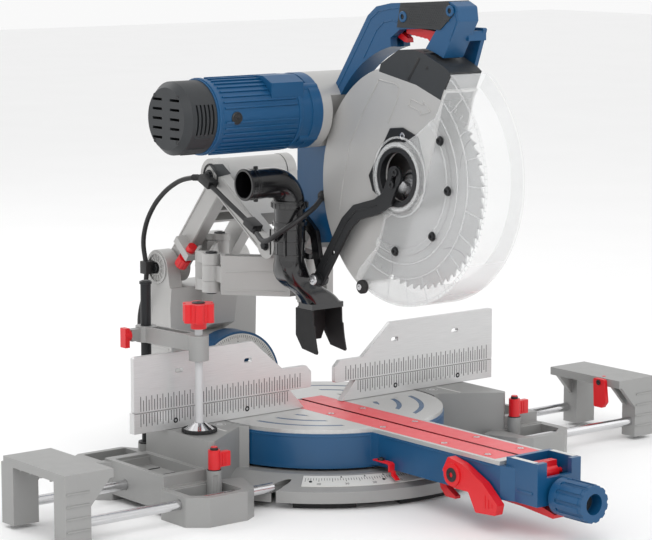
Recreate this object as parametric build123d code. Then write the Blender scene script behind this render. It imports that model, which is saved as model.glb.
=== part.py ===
"""Sliding compound mitre saw with an articulated glide arm, built as separate working pieces.

Frame: X runs along the fence to the right, Y to the back, Z up. The origin is on the bench
plane, under the turntable's axis. Millimetres.
"""
from build123d import *
import os
from math import acos, atan2, cos, hypot, pi, radians, sin, tan

os.makedirs("parts", exist_ok=True)

# Driving dimensions: base and table
TABLE_Z = 105.0
TURNTABLE_R = 190.0
BASE_RING_R = 262.0
SCALE_R, SCALE_Z, SCALE_SLOPE = 216.0, 44.0, 0.365   # inner edge and fall of the scale face
REAR_SWEEP_R = 220.0   # the sides of the bevel housing turn inside this
WING_X = 372.0
FENCE_END_X = 358.0
FENCE_SEAM_Z = 136.6
FENCE_TOP_Z = 222.0
FENCE_THICKNESS = 12.0
SLOT_HALF_WIDTH = 3.0
DETENT_PIVOT = (-404.0, 43.0)    # (y, z)
SELECTOR_PIVOT = (-502.0, 88.0)  # (y, z)
BENCH_BOLT_R = 4.5
BENCH_BOLTS = [(-305.0, -132.0), (305.0, -132.0), (-330.0, 96.0), (330.0, 96.0)]

# Support rods: two pairs, along X
ROD_R = 7.5
FRONT_ROD_Y = -145.0
REAR_ROD_Y = 5.0
ROD_Z = 31.0
SUPPORT_OUTER_X = 580.0
SUPPORT_INNER_X = 500.0
STOP_PIVOT = (-117.0, 98.0)   # (y, z)
RUN = 0.3   # running gap between pieces that move past each other
SHAFT_FIT = 0.06   # radial gap of a shaft in its bore

# Glide: two vertical-pin arms of one length, and the two link arms above them
GLIDE_ARM = 155.0
REAR_PIN_Y = 274.0
FRONT_PIN_Y = 40.0
GLIDE_Z0, GLIDE_Z1 = 276.0, 338.0
LINK_ROOT = (333.0, 292.0)     # (y, z) of the lower link arm's pin on the upright
LINK_KNEE = (192.0, 456.0)     # (y, z) where the two link arms meet
LINK_HEAD = (48.0, 360.0)      # (y, z) of the upper link arm's pin on the head bracket
CHOP_PIVOT = (12.0, 384.0)     # (y, z) of the head's hinge
CHOP_SWING = 53.1              # degrees from rest down to full depth
PIN_R = 7.0

# Saw head, at its raised rest position
BLADE_R = 152.5
BLADE_C = (-220.0, 470.0)      # (y, z)
UPPER_GUARD_R = 181.0
GUARD_PIVOT = (-226.0, 488.0)  # (y, z) of the lower guard's hub
LOWER_GUARD_R = 192.3
LOWER_GUARD_WALL = 2.0
GUARD_HALF = 31.0              # half width of the upper guard
MOTOR_C = (-15.0, 574.0)       # (y, z) of the motor axis
MOTOR_R = 56.0
MOTOR_FLANGE_X, MOTOR_CAP_X = -57.0, -252.0
LINK_FOOT = (-50.0, 316.0)     # (y, z) of the guard link's lower pin
DUCT_XY = (-75.0, -12.0)
DUCT_R = 24.0

TRIGGER_PIVOT = (-212.0, 709.0)  # (y, z)
LOCK_PIVOT = (-180.0, 697.0)     # (y, z)

# Hold-down clamp
POST_XY = (-282.0, 78.0)
POST_R = 8.0
SPINDLE_XY = (-268.0, -40.0)

# Mains lead
LEAD_R = 4.0
LEAD_EXIT = (0.0, 380.0, TABLE_Z)   # on the tilt axis, so tilting the head doesn't drag it


def save(shape, name):
    export_step(shape, f"parts/{name}.step")


def group(*solids):
    """Several separate solids kept in one node."""
    return Compound(children=[s for item in solids for s in item.solids()])


def outline(points, plane, radius=0.0):
    sketch = plane * make_face(Polyline(*[Vector(*p) for p in points], close=True))
    if radius:
        sketch = fillet(sketch.vertices(), radius)
    return sketch


def prism_x(points, x0, x1, radius=0.0):
    """Outline of (y, z) points carried from x0 to x1."""
    plane = Plane(origin=(x0, 0, 0), x_dir=(0, 1, 0), z_dir=(1, 0, 0))
    return extrude(outline(points, plane, radius), amount=x1 - x0)


def prism_y(points, y0, y1, radius=0.0):
    """Outline of (x, z) points carried from y0 to y1."""
    plane = Plane(origin=(0, y1, 0), x_dir=(1, 0, 0), z_dir=(0, -1, 0))
    return extrude(outline(points, plane, radius), amount=y1 - y0)


def prism_z(points, z0, z1, radius=0.0):
    """Outline of (x, y) points carried from z0 to z1."""
    return extrude(outline(points, Plane.XY.offset(z0), radius), amount=z1 - z0)


def block(x0, x1, y0, y1, z0, z1):
    return Pos((x0 + x1) / 2, (y0 + y1) / 2, (z0 + z1) / 2) * Box(x1 - x0, y1 - y0, z1 - z0)


def rod_x(yz, r, x0, x1):
    return Pos((x0 + x1) / 2, yz[0], yz[1]) * Rot(0, 90, 0) * Cylinder(r, x1 - x0)


def rod_y(xz, r, y0, y1):
    return Pos(xz[0], (y0 + y1) / 2, xz[1]) * Rot(90, 0, 0) * Cylinder(r, y1 - y0)


def rod_z(xy, r, z0, z1):
    return Pos(xy[0], xy[1], (z0 + z1) / 2) * Cylinder(r, z1 - z0)


def ring_x(yz, inner, outer, x0, x1):
    return rod_x(yz, outer, x0, x1) - rod_x(yz, inner, x0 - 1, x1 + 1)


def turned(points):
    """Solid turned about the table's axis from (radius, height) points."""
    return revolve(Plane.XZ * make_face(Polyline(*points, close=True)), Axis.Z)


def scale_z(radius):
    return SCALE_Z - (radius - SCALE_R) * SCALE_SLOPE


def mirrored(shape):
    return mirror(shape, about=Plane.YZ)


def bar_x(a, b, width, x0, x1, lift=0.0):
    """A straight bar between two (y, z) points, `width` across, shifted up by `lift`."""
    length = hypot(b[0] - a[0], b[1] - a[1])
    ny, nz = -(b[1] - a[1]) / length, (b[0] - a[0]) / length
    if nz < 0:
        ny, nz = -ny, -nz
    lo, hi = lift - width / 2, lift + width / 2
    corners = [(a[0] + ny * lo, a[1] + nz * lo), (b[0] + ny * lo, b[1] + nz * lo),
               (b[0] + ny * hi, b[1] + nz * hi), (a[0] + ny * hi, a[1] + nz * hi)]
    return prism_x(corners, x0, x1)


def along(a, b, distance):
    length = hypot(b[0] - a[0], b[1] - a[1])
    return tuple(a[i] + (b[i] - a[i]) * distance / length for i in (0, 1))


# ---------------------------------------------------------------- base

def platform_outline():
    """Right-hand raised platform beside the turntable, as (x, y) points."""
    return [(170, -62), (199, -46), (290, -108), (296, -100), (296, 62), (170, 62)]


def base_side():
    """The right wing: platform, foot, tray, rod tunnels and lock boss."""
    platform = prism_z(platform_outline(), 10, TABLE_Z, 3)
    platform -= prism_z([(206, -34), (284, -88), (286, 52), (206, 52)], -1, 96)
    wing = block(286, WING_X, -96, 60, 10, 62)
    wing -= block(304, WING_X - 8, -84, 44, 30, 70)
    skirt = prism_z([(196, -40), (296, -108), (372, -108), (372, 62), (196, 62)], 10, 46)
    skirt -= block(222, 284, -70, 48, -1, 40)
    foot = prism_z([(262, -168), (284, -182), (352, -182), (380, -160), (380, -96),
                    (296, -88), (240, -110)], 0, 44, 6)
    foot -= prism_z([(282, -164), (292, -170), (346, -170), (366, -154), (366, -112),
                     (282, -112)], 12, 60)
    rear = prism_z([(250, 40), (372, 40), (392, 60), (392, 112), (380, 122), (300, 122)],
                   0, 58, 4)
    rear -= block(300, 376, 62, 112, 26, 70)
    boss = rod_z((299, -120), 11, 10, 66)
    return platform + wing + skirt + foot + rear + boss


def base_casting():
    ring = turned([(20, 34), (208, 34), (246, 20), (BASE_RING_R - 10, 10), (BASE_RING_R, 10),
                   (BASE_RING_R, scale_z(BASE_RING_R)), (SCALE_R, SCALE_Z), (206, 42), (20, 42)])
    ring &= block(-270, 270, -270, -20, 0, 60)
    inner = Pos(0, 0, 25) * Cylinder(200, 34)
    inner -= Pos(0, 0, 21) * Cylinder(192, 28)
    hub = rod_z((0, 0), 34, 0, 46)
    ribs = block(-250, 250, -30, -22, 10, 38) + block(-250, 250, 30, 38, 10, 38)
    side = base_side()
    wings = side + mirrored(side) - rod_z((0, 0), TURNTABLE_R + 3, 42, 110)
    wings -= rod_z((0, 0), REAR_SWEEP_R, 59, 110) & block(-240, 240, 44, 200, 59, 110)
    base = ring + inner + hub + ribs + wings
    base -= rod_z((0, 0), 15, 9, 60)
    for y in (FRONT_ROD_Y, REAR_ROD_Y):
        base -= rod_x((y, ROD_Z), ROD_R + RUN, 30, 420)
        base -= rod_x((y, ROD_Z), ROD_R + RUN, -420, -30)
        base -= block(-216, 216, y - 9, y + 9, 8, ROD_Z)
    base -= block(-360, -33, REAR_ROD_Y - 9, REAR_ROD_Y + 9, -1, ROD_Z)
    base -= block(33, 360, REAR_ROD_Y - 9, REAR_ROD_Y + 9, -1, ROD_Z)
    for x, y in BENCH_BOLTS:
        base -= rod_z((x, y), BENCH_BOLT_R, -1, 60)
    base += rod_z(POST_XY, 14, 20, 70)
    base -= rod_z(POST_XY, POST_R, 30, 71)
    base -= rod_z((299, -120), 5.5, 44, 70) + rod_z((-299, -120), 5.5, 44, 70)
    return base


def mitre_scale():
    """Scale plate let in on the sloping front of the ring; it stops short of the rods' way."""
    plate = turned([(222, scale_z(222)), (248, scale_z(248)), (248, scale_z(248) + 1.2),
                    (222, scale_z(222) + 1.2)])
    reach = 300
    edge = radians(46)
    wedge = prism_z([(0, 0), (-reach * sin(edge), -reach * cos(edge)), (-reach, -reach * 1.4),
                     (reach, -reach * 1.4), (reach * sin(edge), -reach * cos(edge))], 20, 60)
    return plate & wedge


def fixed_fence():
    """Right-hand lower fence with its foot and guide rail."""
    face = prism_y([(38, TABLE_Z + 0.6), (FENCE_END_X, TABLE_Z + 0.6),
                    (FENCE_END_X, FENCE_SEAM_Z), (66, FENCE_SEAM_Z)],
                   0, FENCE_THICKNESS)
    foot = block(206, 292, FENCE_THICKNESS, 42, TABLE_Z, 117)
    rail = block(70, 350, FENCE_THICKNESS, FENCE_THICKNESS + 10, 112, 130)
    bridge = block(206, 292, 12, 14, 105.0, 117)
    return face + foot + rail + bridge


def sliding_fence():
    """Right-hand upper fence; its inner end is sloped to clear a tilted head."""
    z0 = FENCE_SEAM_Z + RUN
    plate = prism_y([(24, z0), (FENCE_END_X, z0), (FENCE_END_X, FENCE_TOP_Z),
                     (138, FENCE_TOP_Z), (80, 172), (34, 172), (24, 162)],
                    0, 8, 3)
    for x in (147, 276):
        slot = block(x - 4, x + 4, -1, 9, 190, 197) + rod_y((x - 4, 193.5), 3.5, -1, 9)
        plate -= slot + rod_y((x + 4, 193.5), 3.5, -1, 9)
    return plate


def hold_down_post():
    return rod_z(POST_XY, POST_R - SHAFT_FIT, 30.5, 316) + rod_z(POST_XY, 9.5, 316, 320)


def clamp_arm():
    px, py = POST_XY
    sx, sy = SPINDLE_XY
    z0, z1 = 228.0, 252.0
    angle = atan2(sx - px, py - sy)
    wx, wy = 11 * cos(angle), 11 * sin(angle)
    beam = prism_z([(px - wx, py - wy), (px + wx, py + wy), (sx + wx, sy + wy),
                    (sx - wx, sy - wy)], z0, z1)
    tx, ty = 7 * cos(angle), 7 * sin(angle)
    a = (px + (sx - px) * 0.17, py + (sy - py) * 0.17)
    b = (px + (sx - px) * 0.80, py + (sy - py) * 0.80)
    beam -= prism_z([(a[0] - tx, a[1] - ty), (a[0] + tx, a[1] + ty), (b[0] + tx, b[1] + ty),
                     (b[0] - tx, b[1] - ty)], z0 + 6, z1 + 1)
    arm = beam + rod_z(POST_XY, 16, z0, z1) + rod_z(SPINDLE_XY, 15, 214, z1)
    arm += block(px - 30, px - 8, py - 7, py + 7, z0 + 3, z1 - 3)
    arm -= rod_z(POST_XY, POST_R + RUN, z0 - 1, z1 + 1)
    arm -= rod_z(SPINDLE_XY, 6 + SHAFT_FIT, 200, z1 + 1)
    arm -= rod_x((py, 240), 4.2, px - 31, px - 16.5)
    return arm


def wing_lock_x(x, y, z):
    """A finger-wide lever on a screw that points along X."""
    lever = block(x - 12, x - 4, y - 7, y + 7, z - 18, z + 12) + rod_x((y, z), 8, x - 10, x)
    return lever + rod_x((y, z), 4, x, x + 13)


def clamp_screw():
    screw = rod_z(SPINDLE_XY, 6, 112, 300)
    knob = rod_z(SPINDLE_XY, 12, 262, 272) + rod_z(SPINDLE_XY, 19, 272, 300)
    for lobe in range(6):
        a = pi / 3 * lobe
        knob += rod_z((SPINDLE_XY[0] + 18 * cos(a), SPINDLE_XY[1] + 18 * sin(a)), 7, 272, 300)
    return screw + knob


def clamp_pad():
    base = rod_z(SPINDLE_XY, 25, TABLE_Z + 0.4, TABLE_Z + 5)
    cone = Pos(SPINDLE_XY[0], SPINDLE_XY[1], TABLE_Z + 10) * Cone(22, 9, 10)
    return base + cone - rod_z(SPINDLE_XY, 6.2, 111.5, 130)


def support_shell():
    """Right-hand extension support: an inverted U with a flat top."""
    x0, x1 = SUPPORT_INNER_X, SUPPORT_OUTER_X
    top = block(x0, x1, -158, 6, 92, TABLE_Z)
    top -= block(x0 + 6, x1 - 6, -152, 0, 85, 98)
    front = block(x1 - 42, x1, -158, -128, 6, 96)
    rear = block(x1 - 42, x1, -20, 12, 6, 96)
    gusset = prism_y([(x0 + 4, 94), (x1 - 40, 94), (x1 - 40, 54)], -158, -150)
    gusset += prism_y([(x0 + 4, 94), (x1 - 40, 94), (x1 - 40, 54)], -136, -130)
    gusset += prism_y([(x0 + 4, 94), (x1 - 40, 94), (x1 - 40, 54)], -8, 0)
    shell = top + front + rear + gusset
    shell -= block(x1 - 36, x1 - 6, -152, -134, 50, 90) + block(x1 - 36, x1 - 6, -14, 6, 50, 90)
    shell -= rod_x(STOP_PIVOT, 3 + SHAFT_FIT, x0 - 1, x0 + 7)
    shell -= rod_x((FRONT_ROD_Y, ROD_Z), ROD_R, x1 - 60, x1 - 6)
    shell -= rod_x((REAR_ROD_Y, ROD_Z), ROD_R, x1 - 60, x1 - 6)
    return shell


def support_rods():
    x0, x1 = 212, SUPPORT_OUTER_X - 6
    return group(rod_x((FRONT_ROD_Y, ROD_Z), ROD_R, x0, x1),
                 rod_x((REAR_ROD_Y, ROD_Z), ROD_R, x0, x1))


def flip_stop():
    """Stop plate on the inner side of the right support; it swings up above the top."""
    x1 = SUPPORT_INNER_X - RUN
    plate = prism_x([(-129, 104), (-134, 66), (-126, 56), (-106, 56), (-104, 104)], x1 - 7, x1, 3)
    return plate + rod_x(STOP_PIVOT, 3, x1 - 2, x1 + 6)


def rail_lock(sign):
    x, y = sign * 299, -120
    stem = rod_z((x, y), 5.4, 46, 70) + rod_z((x, y), 9, 67, 96) + rod_z((x, y), 5, 96, 101)
    lever = block(min(x, x - sign * 26), max(x, x - sign * 26), y - 5, y + 4, 70, 92)
    return stem + (lever if sign < 0 else block(x, x + 26, y - 5, y + 4, 70, 92))


# ---------------------------------------------------------------- turntable

def turntable():
    """Rotating table with its front arm, tiller box and rear bevel housing."""
    disc = rod_z((0, 0), TURNTABLE_R, 46, 99) - rod_z((0, 0), TURNTABLE_R - 8, 45, 92)
    hub = rod_z((0, 0), 30, 46.6, 98)
    arm = prism_z([(-56, -170), (-50, -196), (-50, -466), (-42, -488), (-42, -534),
                   (42, -534), (42, -488), (50, -466), (50, -196), (56, -170)], 50, 99)
    arm -= block(-43, 43, -458, -150, 45, 92)
    rear = prism_z([(-86, 150), (-86, 262), (86, 262), (86, 150)], 60, 99)
    rear -= block(-78, 78, 150, 254, 45, 92)
    drum = rod_y((0, TABLE_Z), 86, 226, 262) & block(-90, 90, 220, 265, 60, 200)
    tower = block(-42, 42, -534, -470, 62, 112)
    ears = block(14, 20, -412, -396, 37, 51) + block(-20, -14, -412, -396, 37, 51)
    bridge = block(-44, 44, -440, -380, 50, 56)
    table = disc + hub + arm + tower + ears + bridge + rear + drum
    table -= block(-33, 33, -526, -478, 74, 113) + block(-24, 24, -540, -520, 90, 113)
    table -= rod_x(SELECTOR_PIVOT, 4 + SHAFT_FIT, -39, 39)
    table -= rod_x(DETENT_PIVOT, 3 + SHAFT_FIT, -21, 21)
    table -= rod_y((0, TABLE_Z), 62, 225, 252)
    table -= block(-11, 11, -446, 60, 60, 100)
    table -= rod_y((0, TABLE_Z), 15 + SHAFT_FIT, 240, 270)
    table += rod_z((0, 0), 14.9, 10, 50)
    table -= rod_x((-382, 73), 5 + SHAFT_FIT, -55, -40)
    table -= rod_y((0, 60), 6 + SHAFT_FIT, -540, -520)
    return table


def table_plate():
    """Machined aluminium top with concentric grooves, level with the platforms."""
    plate = rod_z((0, 0), TURNTABLE_R - 1.5, 99, TABLE_Z)
    plate += prism_z([(-50, -150), (-50, -464), (50, -464), (50, -150)], 99, TABLE_Z)
    for r in (85, 120, 155):
        groove = rod_z((0, 0), r + 4, 102.5, 106) - rod_z((0, 0), r - 4, 102, 107)
        for clear in (block(-70, 70, -200, 200, 100, 107), block(-200, 200, -30, 36, 100, 107)):
            groove -= clear
        plate -= groove
    plate -= block(-44, 44, -448, 60, 98, 107)
    return plate


def kerf_inserts():
    """Two replaceable strips with the blade slot between them, undercut for tilted cuts."""
    profile = [(SLOT_HALF_WIDTH, TABLE_Z), (SLOT_HALF_WIDTH + 3.5, 101.5), (43.6, 101.5),
               (43.6, TABLE_Z)]
    right = prism_y(profile, -447.6, 59.6)
    return group(right, mirrored(right))


def mitre_lock_knob():
    """Ribbed knob on the shaft that jams the turntable."""
    knob = rod_y((0, 62), 27, -604, -540) - rod_y((0, 62), 15, -605, -585)
    for rib in range(12):
        a = pi / 6 * rib
        knob -= rod_y((29 * cos(a), 62 + 29 * sin(a)), 4, -606, -552)
    return knob + rod_y((0, 60), 6, -548, -522)


def detent_lever():
    lever = prism_x([(-399, 47), (-399, 38), (-470, 36), (-536, 30), (-540, 36), (-500, 46.5)],
                    -13, 13)
    return lever + rod_x(DETENT_PIVOT, 3, -20, 20)


def bevel_lever():
    """Long cranked lever on the arm's left side that locks the tilt."""
    arm = prism_x([(-360, 76), (-372, 98), (-402, 92), (-446, 72), (-478, 46), (-474, 30),
                   (-432, 27), (-416, 54), (-384, 54)], -66, -52.5, 3)
    return arm + rod_x((-382, 73), 17, -68, -51) + rod_x((-382, 73), 5, -52, -42)


def bevel_selector():
    barrel = rod_x(SELECTOR_PIVOT, 11.5, -20, 20) + rod_x(SELECTOR_PIVOT, 4, -38, 38)
    return barrel + block(-20, 20, -508, -496, 96, 106)


# ---------------------------------------------------------------- upright and glide

def upright():
    """Tilting post: bevel disc, column, two pin cheeks and the glide hinge lugs."""
    disc = rod_y((0, TABLE_Z), 84, 263, 300)
    axle = rod_y((0, TABLE_Z), 15, 242, 270)
    column = prism_y([(-84, 70), (84, 70), (88, 230), (85, 262), (-85, 262), (-88, 230)],
                     292, 372)
    column -= prism_y([(-70, 84), (70, 84), (74, 240), (-74, 240)], 310, 380)
    cheeks = None
    for x0, x1 in ((-85, -60), (60, 85)):
        cheek = rod_x(LINK_ROOT, 30, x0, x1)
        cheek += prism_x([(292, 240), (372, 240), (361, 300), (305, 300)], x0, x1)
        cheek += rod_x(LINK_ROOT, PIN_R, min(x0, x0 * 0.58), max(x1, x1 * 0.58))
        cheeks = cheek if cheeks is None else cheeks + cheek
    lugs = None
    for z0, z1 in ((GLIDE_Z0 - 14, GLIDE_Z0 - 0.5), (GLIDE_Z1 + 0.5, GLIDE_Z1 + 11)):
        lug = rod_z((0, REAR_PIN_Y), 17, z0, z1) + block(-17, 17, REAR_PIN_Y, 300, z0, z1)
        lugs = lug if lugs is None else lugs + lug
    web = block(-22, 22, 296, 308, 240, GLIDE_Z1 + 11)
    tower = prism_x([(294, 186), (266, 200), (257, GLIDE_Z0 - 14), (294, GLIDE_Z0 - 14)], -24, 24)
    gland = rod_y((0, TABLE_Z), 11, 290, LEAD_EXIT[1])
    pin = rod_z((0, REAR_PIN_Y), PIN_R, GLIDE_Z0 - 1, GLIDE_Z1 + 1)
    return disc + axle + column + cheeks + lugs + web + tower + gland + pin


def glide_vectors():
    beta = acos((REAR_PIN_Y - FRONT_PIN_Y) / (2 * GLIDE_ARM))
    elbow = (-GLIDE_ARM * sin(beta), FRONT_PIN_Y + GLIDE_ARM * cos(beta))
    return beta, elbow


def arm_box(start, end, z0, z1, thickness=28, trim=16):
    """Box arm between two pins, all on the outer side of the line that joins them."""
    length = hypot(end[0] - start[0], end[1] - start[1])
    ux, uy = (end[0] - start[0]) / length, (end[1] - start[1]) / length
    nx, ny = uy, -ux

    def corner(s, t):
        return (start[0] + ux * s + nx * t, start[1] + uy * s + ny * t)

    outer = prism_z([corner(trim, 1), corner(length - trim, 1),
                     corner(length - trim - 6, thickness), corner(trim + 6, thickness)], z0, z1)
    inner = prism_z([corner(trim + 8, 6), corner(length - trim - 8, 6),
                     corner(length - trim - 12, thickness - 5), corner(trim + 12, thickness - 5)],
                    z0 + 6, z1 + 1)
    roots = [corner(0, 0), corner(length, 0), corner(trim + 8, 1), corner(trim + 8, thickness),
             corner(length - trim - 8, 1), corner(length - trim - 8, thickness)]
    return outer - inner, roots


def knuckle(pin, toward_a, toward_b, z0, z1, r=15):
    """Round hinge eye with a root that widens to two points."""
    root = prism_z([(pin[0], pin[1]), toward_a, toward_b], z0, z1)
    return rod_z(pin, r, z0, z1) + root


def rear_glide_arm():
    beta, elbow = glide_vectors()
    body, roots = arm_box((0, REAR_PIN_Y), elbow, GLIDE_Z0, GLIDE_Z1)
    arm = body + knuckle(roots[0], roots[2], roots[3], GLIDE_Z0, GLIDE_Z1)
    for z0, z1 in ((GLIDE_Z0, GLIDE_Z0 + 18), (GLIDE_Z1 - 18, GLIDE_Z1)):
        arm += knuckle(roots[1], roots[4], roots[5], z0, z1)
    arm -= rod_z(elbow, 16, GLIDE_Z0 + 18, GLIDE_Z1 - 18)
    arm -= rod_z((0, REAR_PIN_Y), PIN_R + SHAFT_FIT, GLIDE_Z0 - 1, GLIDE_Z1 + 1)
    ux, uy = -sin(beta), -cos(beta)
    relief = [(ux * s + uy * t, REAR_PIN_Y + uy * s - ux * t)
              for s, t in ((14, 18), (70, 18), (70, 30), (14, 30))]
    arm -= prism_z(relief, 319, GLIDE_Z1 + 1)   # the link arm passes over the outer wall here
    return arm + rod_z(elbow, PIN_R, GLIDE_Z0, GLIDE_Z1)


def front_glide_arm():
    elbow = glide_vectors()[1]
    body, roots = arm_box(elbow, (0, FRONT_PIN_Y), GLIDE_Z0, GLIDE_Z1)
    arm = body + knuckle(roots[1], roots[4], roots[5], GLIDE_Z0, GLIDE_Z1)
    arm += knuckle(roots[0], roots[2], roots[3], GLIDE_Z0 + 18.4, GLIDE_Z1 - 18.4)
    for z0, z1 in ((GLIDE_Z0 - 1, GLIDE_Z0 + 18.4), (GLIDE_Z1 - 18.4, GLIDE_Z1 + 1)):
        arm -= rod_z(elbow, 16, z0, z1)
    arm -= rod_z(elbow, PIN_R + SHAFT_FIT, GLIDE_Z0 - 1, GLIDE_Z1 + 1)
    arm -= rod_z((0, FRONT_PIN_Y), PIN_R + SHAFT_FIT, GLIDE_Z0 - 1, GLIDE_Z1 + 1)
    return arm


def head_bracket():
    """Carries the head: two hinge cheeks over the front glide pin."""
    cheek = prism_x([(-12, 376), (0, 401), (28, 402), (66, 382), (70, 352), (60, 349.5),
                     (22, 349.5), (-4, 364)], 24.6, 36.5, 3)
    cheek += rod_x(CHOP_PIVOT, 19, 24.6, 36.5)
    body = cheek + mirrored(cheek)
    body += block(-36.5, 36.5, 22, 66, GLIDE_Z1 + 0.5, 352)
    body += rod_z((0, FRONT_PIN_Y), 16, GLIDE_Z0 - 12, GLIDE_Z0 - 0.5)
    body += block(0, 40, FRONT_PIN_Y - 15, FRONT_PIN_Y + 30, GLIDE_Z0 - 12, GLIDE_Z0 - 0.5)
    body += block(27, 40, FRONT_PIN_Y - 15, FRONT_PIN_Y + 30, GLIDE_Z0 - 12, 352)
    body += rod_z((0, FRONT_PIN_Y), PIN_R, GLIDE_Z0 - 1, GLIDE_Z1 + 1)
    for s in (-1, 1):
        body += rod_x(LINK_HEAD, 13, min(s * 30, s * 57.5), max(s * 30, s * 57.5))
        body += rod_x(LINK_HEAD, PIN_R, min(s * 50, s * 77), max(s * 50, s * 77))
    body -= rod_x(CHOP_PIVOT, PIN_R, -40, 40)
    body -= block(-24.4, 24.4, -60, 36, 352.0, 420)
    return body


def chop_shaft():
    return rod_x(CHOP_PIVOT, PIN_R, -36.5, 36.5) + rod_x(CHOP_PIVOT, 10, 36.5, 41) \
        + rod_x(CHOP_PIVOT, 10, -41, -36.5)


def lower_link_arm():
    """From the upright to the knee: two beams, a cross web and the knee barrel."""
    arm = rod_x(LINK_KNEE, 27, -57, 57)
    for x0, x1 in ((-57, -36), (36, 57)):
        arm += rod_x(LINK_ROOT, 26, x0, x1)
        arm += bar_x(LINK_ROOT, LINK_KNEE, 36, x0, x1)
    a, b = along(LINK_ROOT, LINK_KNEE, 92), along(LINK_ROOT, LINK_KNEE, 195)
    arm += bar_x(a, b, 7, -40, 40, lift=14)
    for distance in (116, 140, 164):
        c = along(LINK_ROOT, LINK_KNEE, distance)
        d = along(LINK_ROOT, LINK_KNEE, distance + 5)
        arm += bar_x(c, d, 30, -40, 40, lift=2)
    c, d = along(LINK_ROOT, LINK_KNEE, 58), along(LINK_ROOT, LINK_KNEE, 71)
    arm += bar_x(c, d, 44, -76, -56, lift=-18)
    arm -= glide_lock_axis() * Cylinder(8 + SHAFT_FIT, 60)
    arm -= rod_x(LINK_ROOT, PIN_R + SHAFT_FIT, -60, 60)
    return arm


def upper_link_arm():
    """From the knee down to the head bracket; eyes outside, web between."""
    arm = None
    for x0, x1 in ((-76, -58.3), (58.3, 76)):
        side = rod_x(LINK_KNEE, 28, x0, x1) + rod_x(LINK_HEAD, 21, x0, x1)
        side += bar_x(LINK_KNEE, LINK_HEAD, 34, x0, x1)
        arm = side if arm is None else arm + side
    a, b = along(LINK_KNEE, LINK_HEAD, 46), along(LINK_KNEE, LINK_HEAD, 118)
    arm += bar_x(a, b, 9, -60, 60, lift=12.4)
    for distance in (50, 80, 110):
        c = along(LINK_KNEE, LINK_HEAD, distance)
        d = along(LINK_KNEE, LINK_HEAD, distance + 6)
        arm += bar_x(c, d, 26, -60, 60, lift=3)
    for x0, x1 in ((-79, -76), (76, 79)):
        arm += rod_x(LINK_KNEE, 11, x0, x1)
    arm -= rod_x(LINK_HEAD, PIN_R + SHAFT_FIT, -90, 90)
    return arm


def glide_lock_axis():
    """Starts at the lock's free end, under the lower link arm, and points down and back."""
    return Plane(origin=(-66, 258, 334), x_dir=(1, 0, 0), z_dir=(0, 1, -1))


def glide_lock_knob():
    """Screw-in knob under the lower link arm that holds the glide for carrying."""
    axis = glide_lock_axis()
    knob = axis * Pos(0, 0, 38.5) * Cylinder(11, 19)
    for rib in range(10):
        knob -= axis * Rot(0, 0, 36 * rib) * Pos(12.2, 0, 38.5) * Cylinder(2, 30)
    return knob + axis * Pos(0, 0, 15) * Cylinder(8, 30)


# ---------------------------------------------------------------- dust parts

def chute_loft(wall):
    """The duct's inner or outer skin: round at the top, a flat mouth behind the blade."""
    x, y = DUCT_XY
    sections = [Plane.XY.offset(345) * Pos(x, y) * Circle(DUCT_R - wall)]
    for z, cx, cy, wide, deep in ((314, -64, -9, 50, 44), (288, -23, 1, 57, 34),
                                  (268, 0, 5.5, 62, 35)):
        shape = RectangleRounded(wide - 2 * wall, deep - 2 * wall, 12 - 2 * wall)
        sections.append(Plane.XY.offset(z) * Pos(cx, cy) * shape)
    return loft(sections)


def lowered_guard():
    """What the upper guard's rim sweeps to with the head at full depth."""
    dy, dz = BLADE_C[0] - CHOP_PIVOT[0], BLADE_C[1] - CHOP_PIVOT[1]
    swing = radians(CHOP_SWING)
    centre = (CHOP_PIVOT[0] + dy * cos(swing) - dz * sin(swing),
              CHOP_PIVOT[1] + dy * sin(swing) + dz * cos(swing))
    return rod_x(centre, UPPER_GUARD_R + 1, -32, 32)


def dust_chute():
    """Duct from the swivel collar down to the mouth behind the blade, with the link's stay."""
    x, y = DUCT_XY
    pipe = rod_z((x, y), DUCT_R, 345, 424)
    pipe += rod_z((x, y), DUCT_R + 3, 398, 404)
    mouth = Pos(0, 5.5, 264.5) * Box(62, 35, 9)
    stay = None
    route = [(-6, 402), (-30, 384), (-37, 352), LINK_FOOT]
    for a, b in zip(route, route[1:]):
        piece = bar_x(a, b, 17, -43.5, -36.5) + rod_x(a, 8.5, -43.5, -36.5)
        stay = piece if stay is None else stay + piece
    stay += bar_x((-38, 350), (14, 356), 9, -58, -36.5)
    foot = rod_x(LINK_FOOT, 10, -43.5, -36.5) + rod_x(LINK_FOOT, 5, -57, -40)
    chute = chute_loft(0) + pipe + mouth + stay + foot
    chute -= chute_loft(3)
    chute -= rod_z((x, y), DUCT_R - 3, 344, 425)
    return chute - Pos(0, 5.5, 264) * Box(56, 29, 12) - lowered_guard()


def chute_flaps():
    flap = prism_x([(32, 260), (-11, 260), (-12, 236), (-25, 228), (-27, 202), (-21, 191),
                    (16, 196), (32, 216)], 27.2, 29.6, 2) - lowered_guard()
    return group(flap, mirrored(flap))


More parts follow.
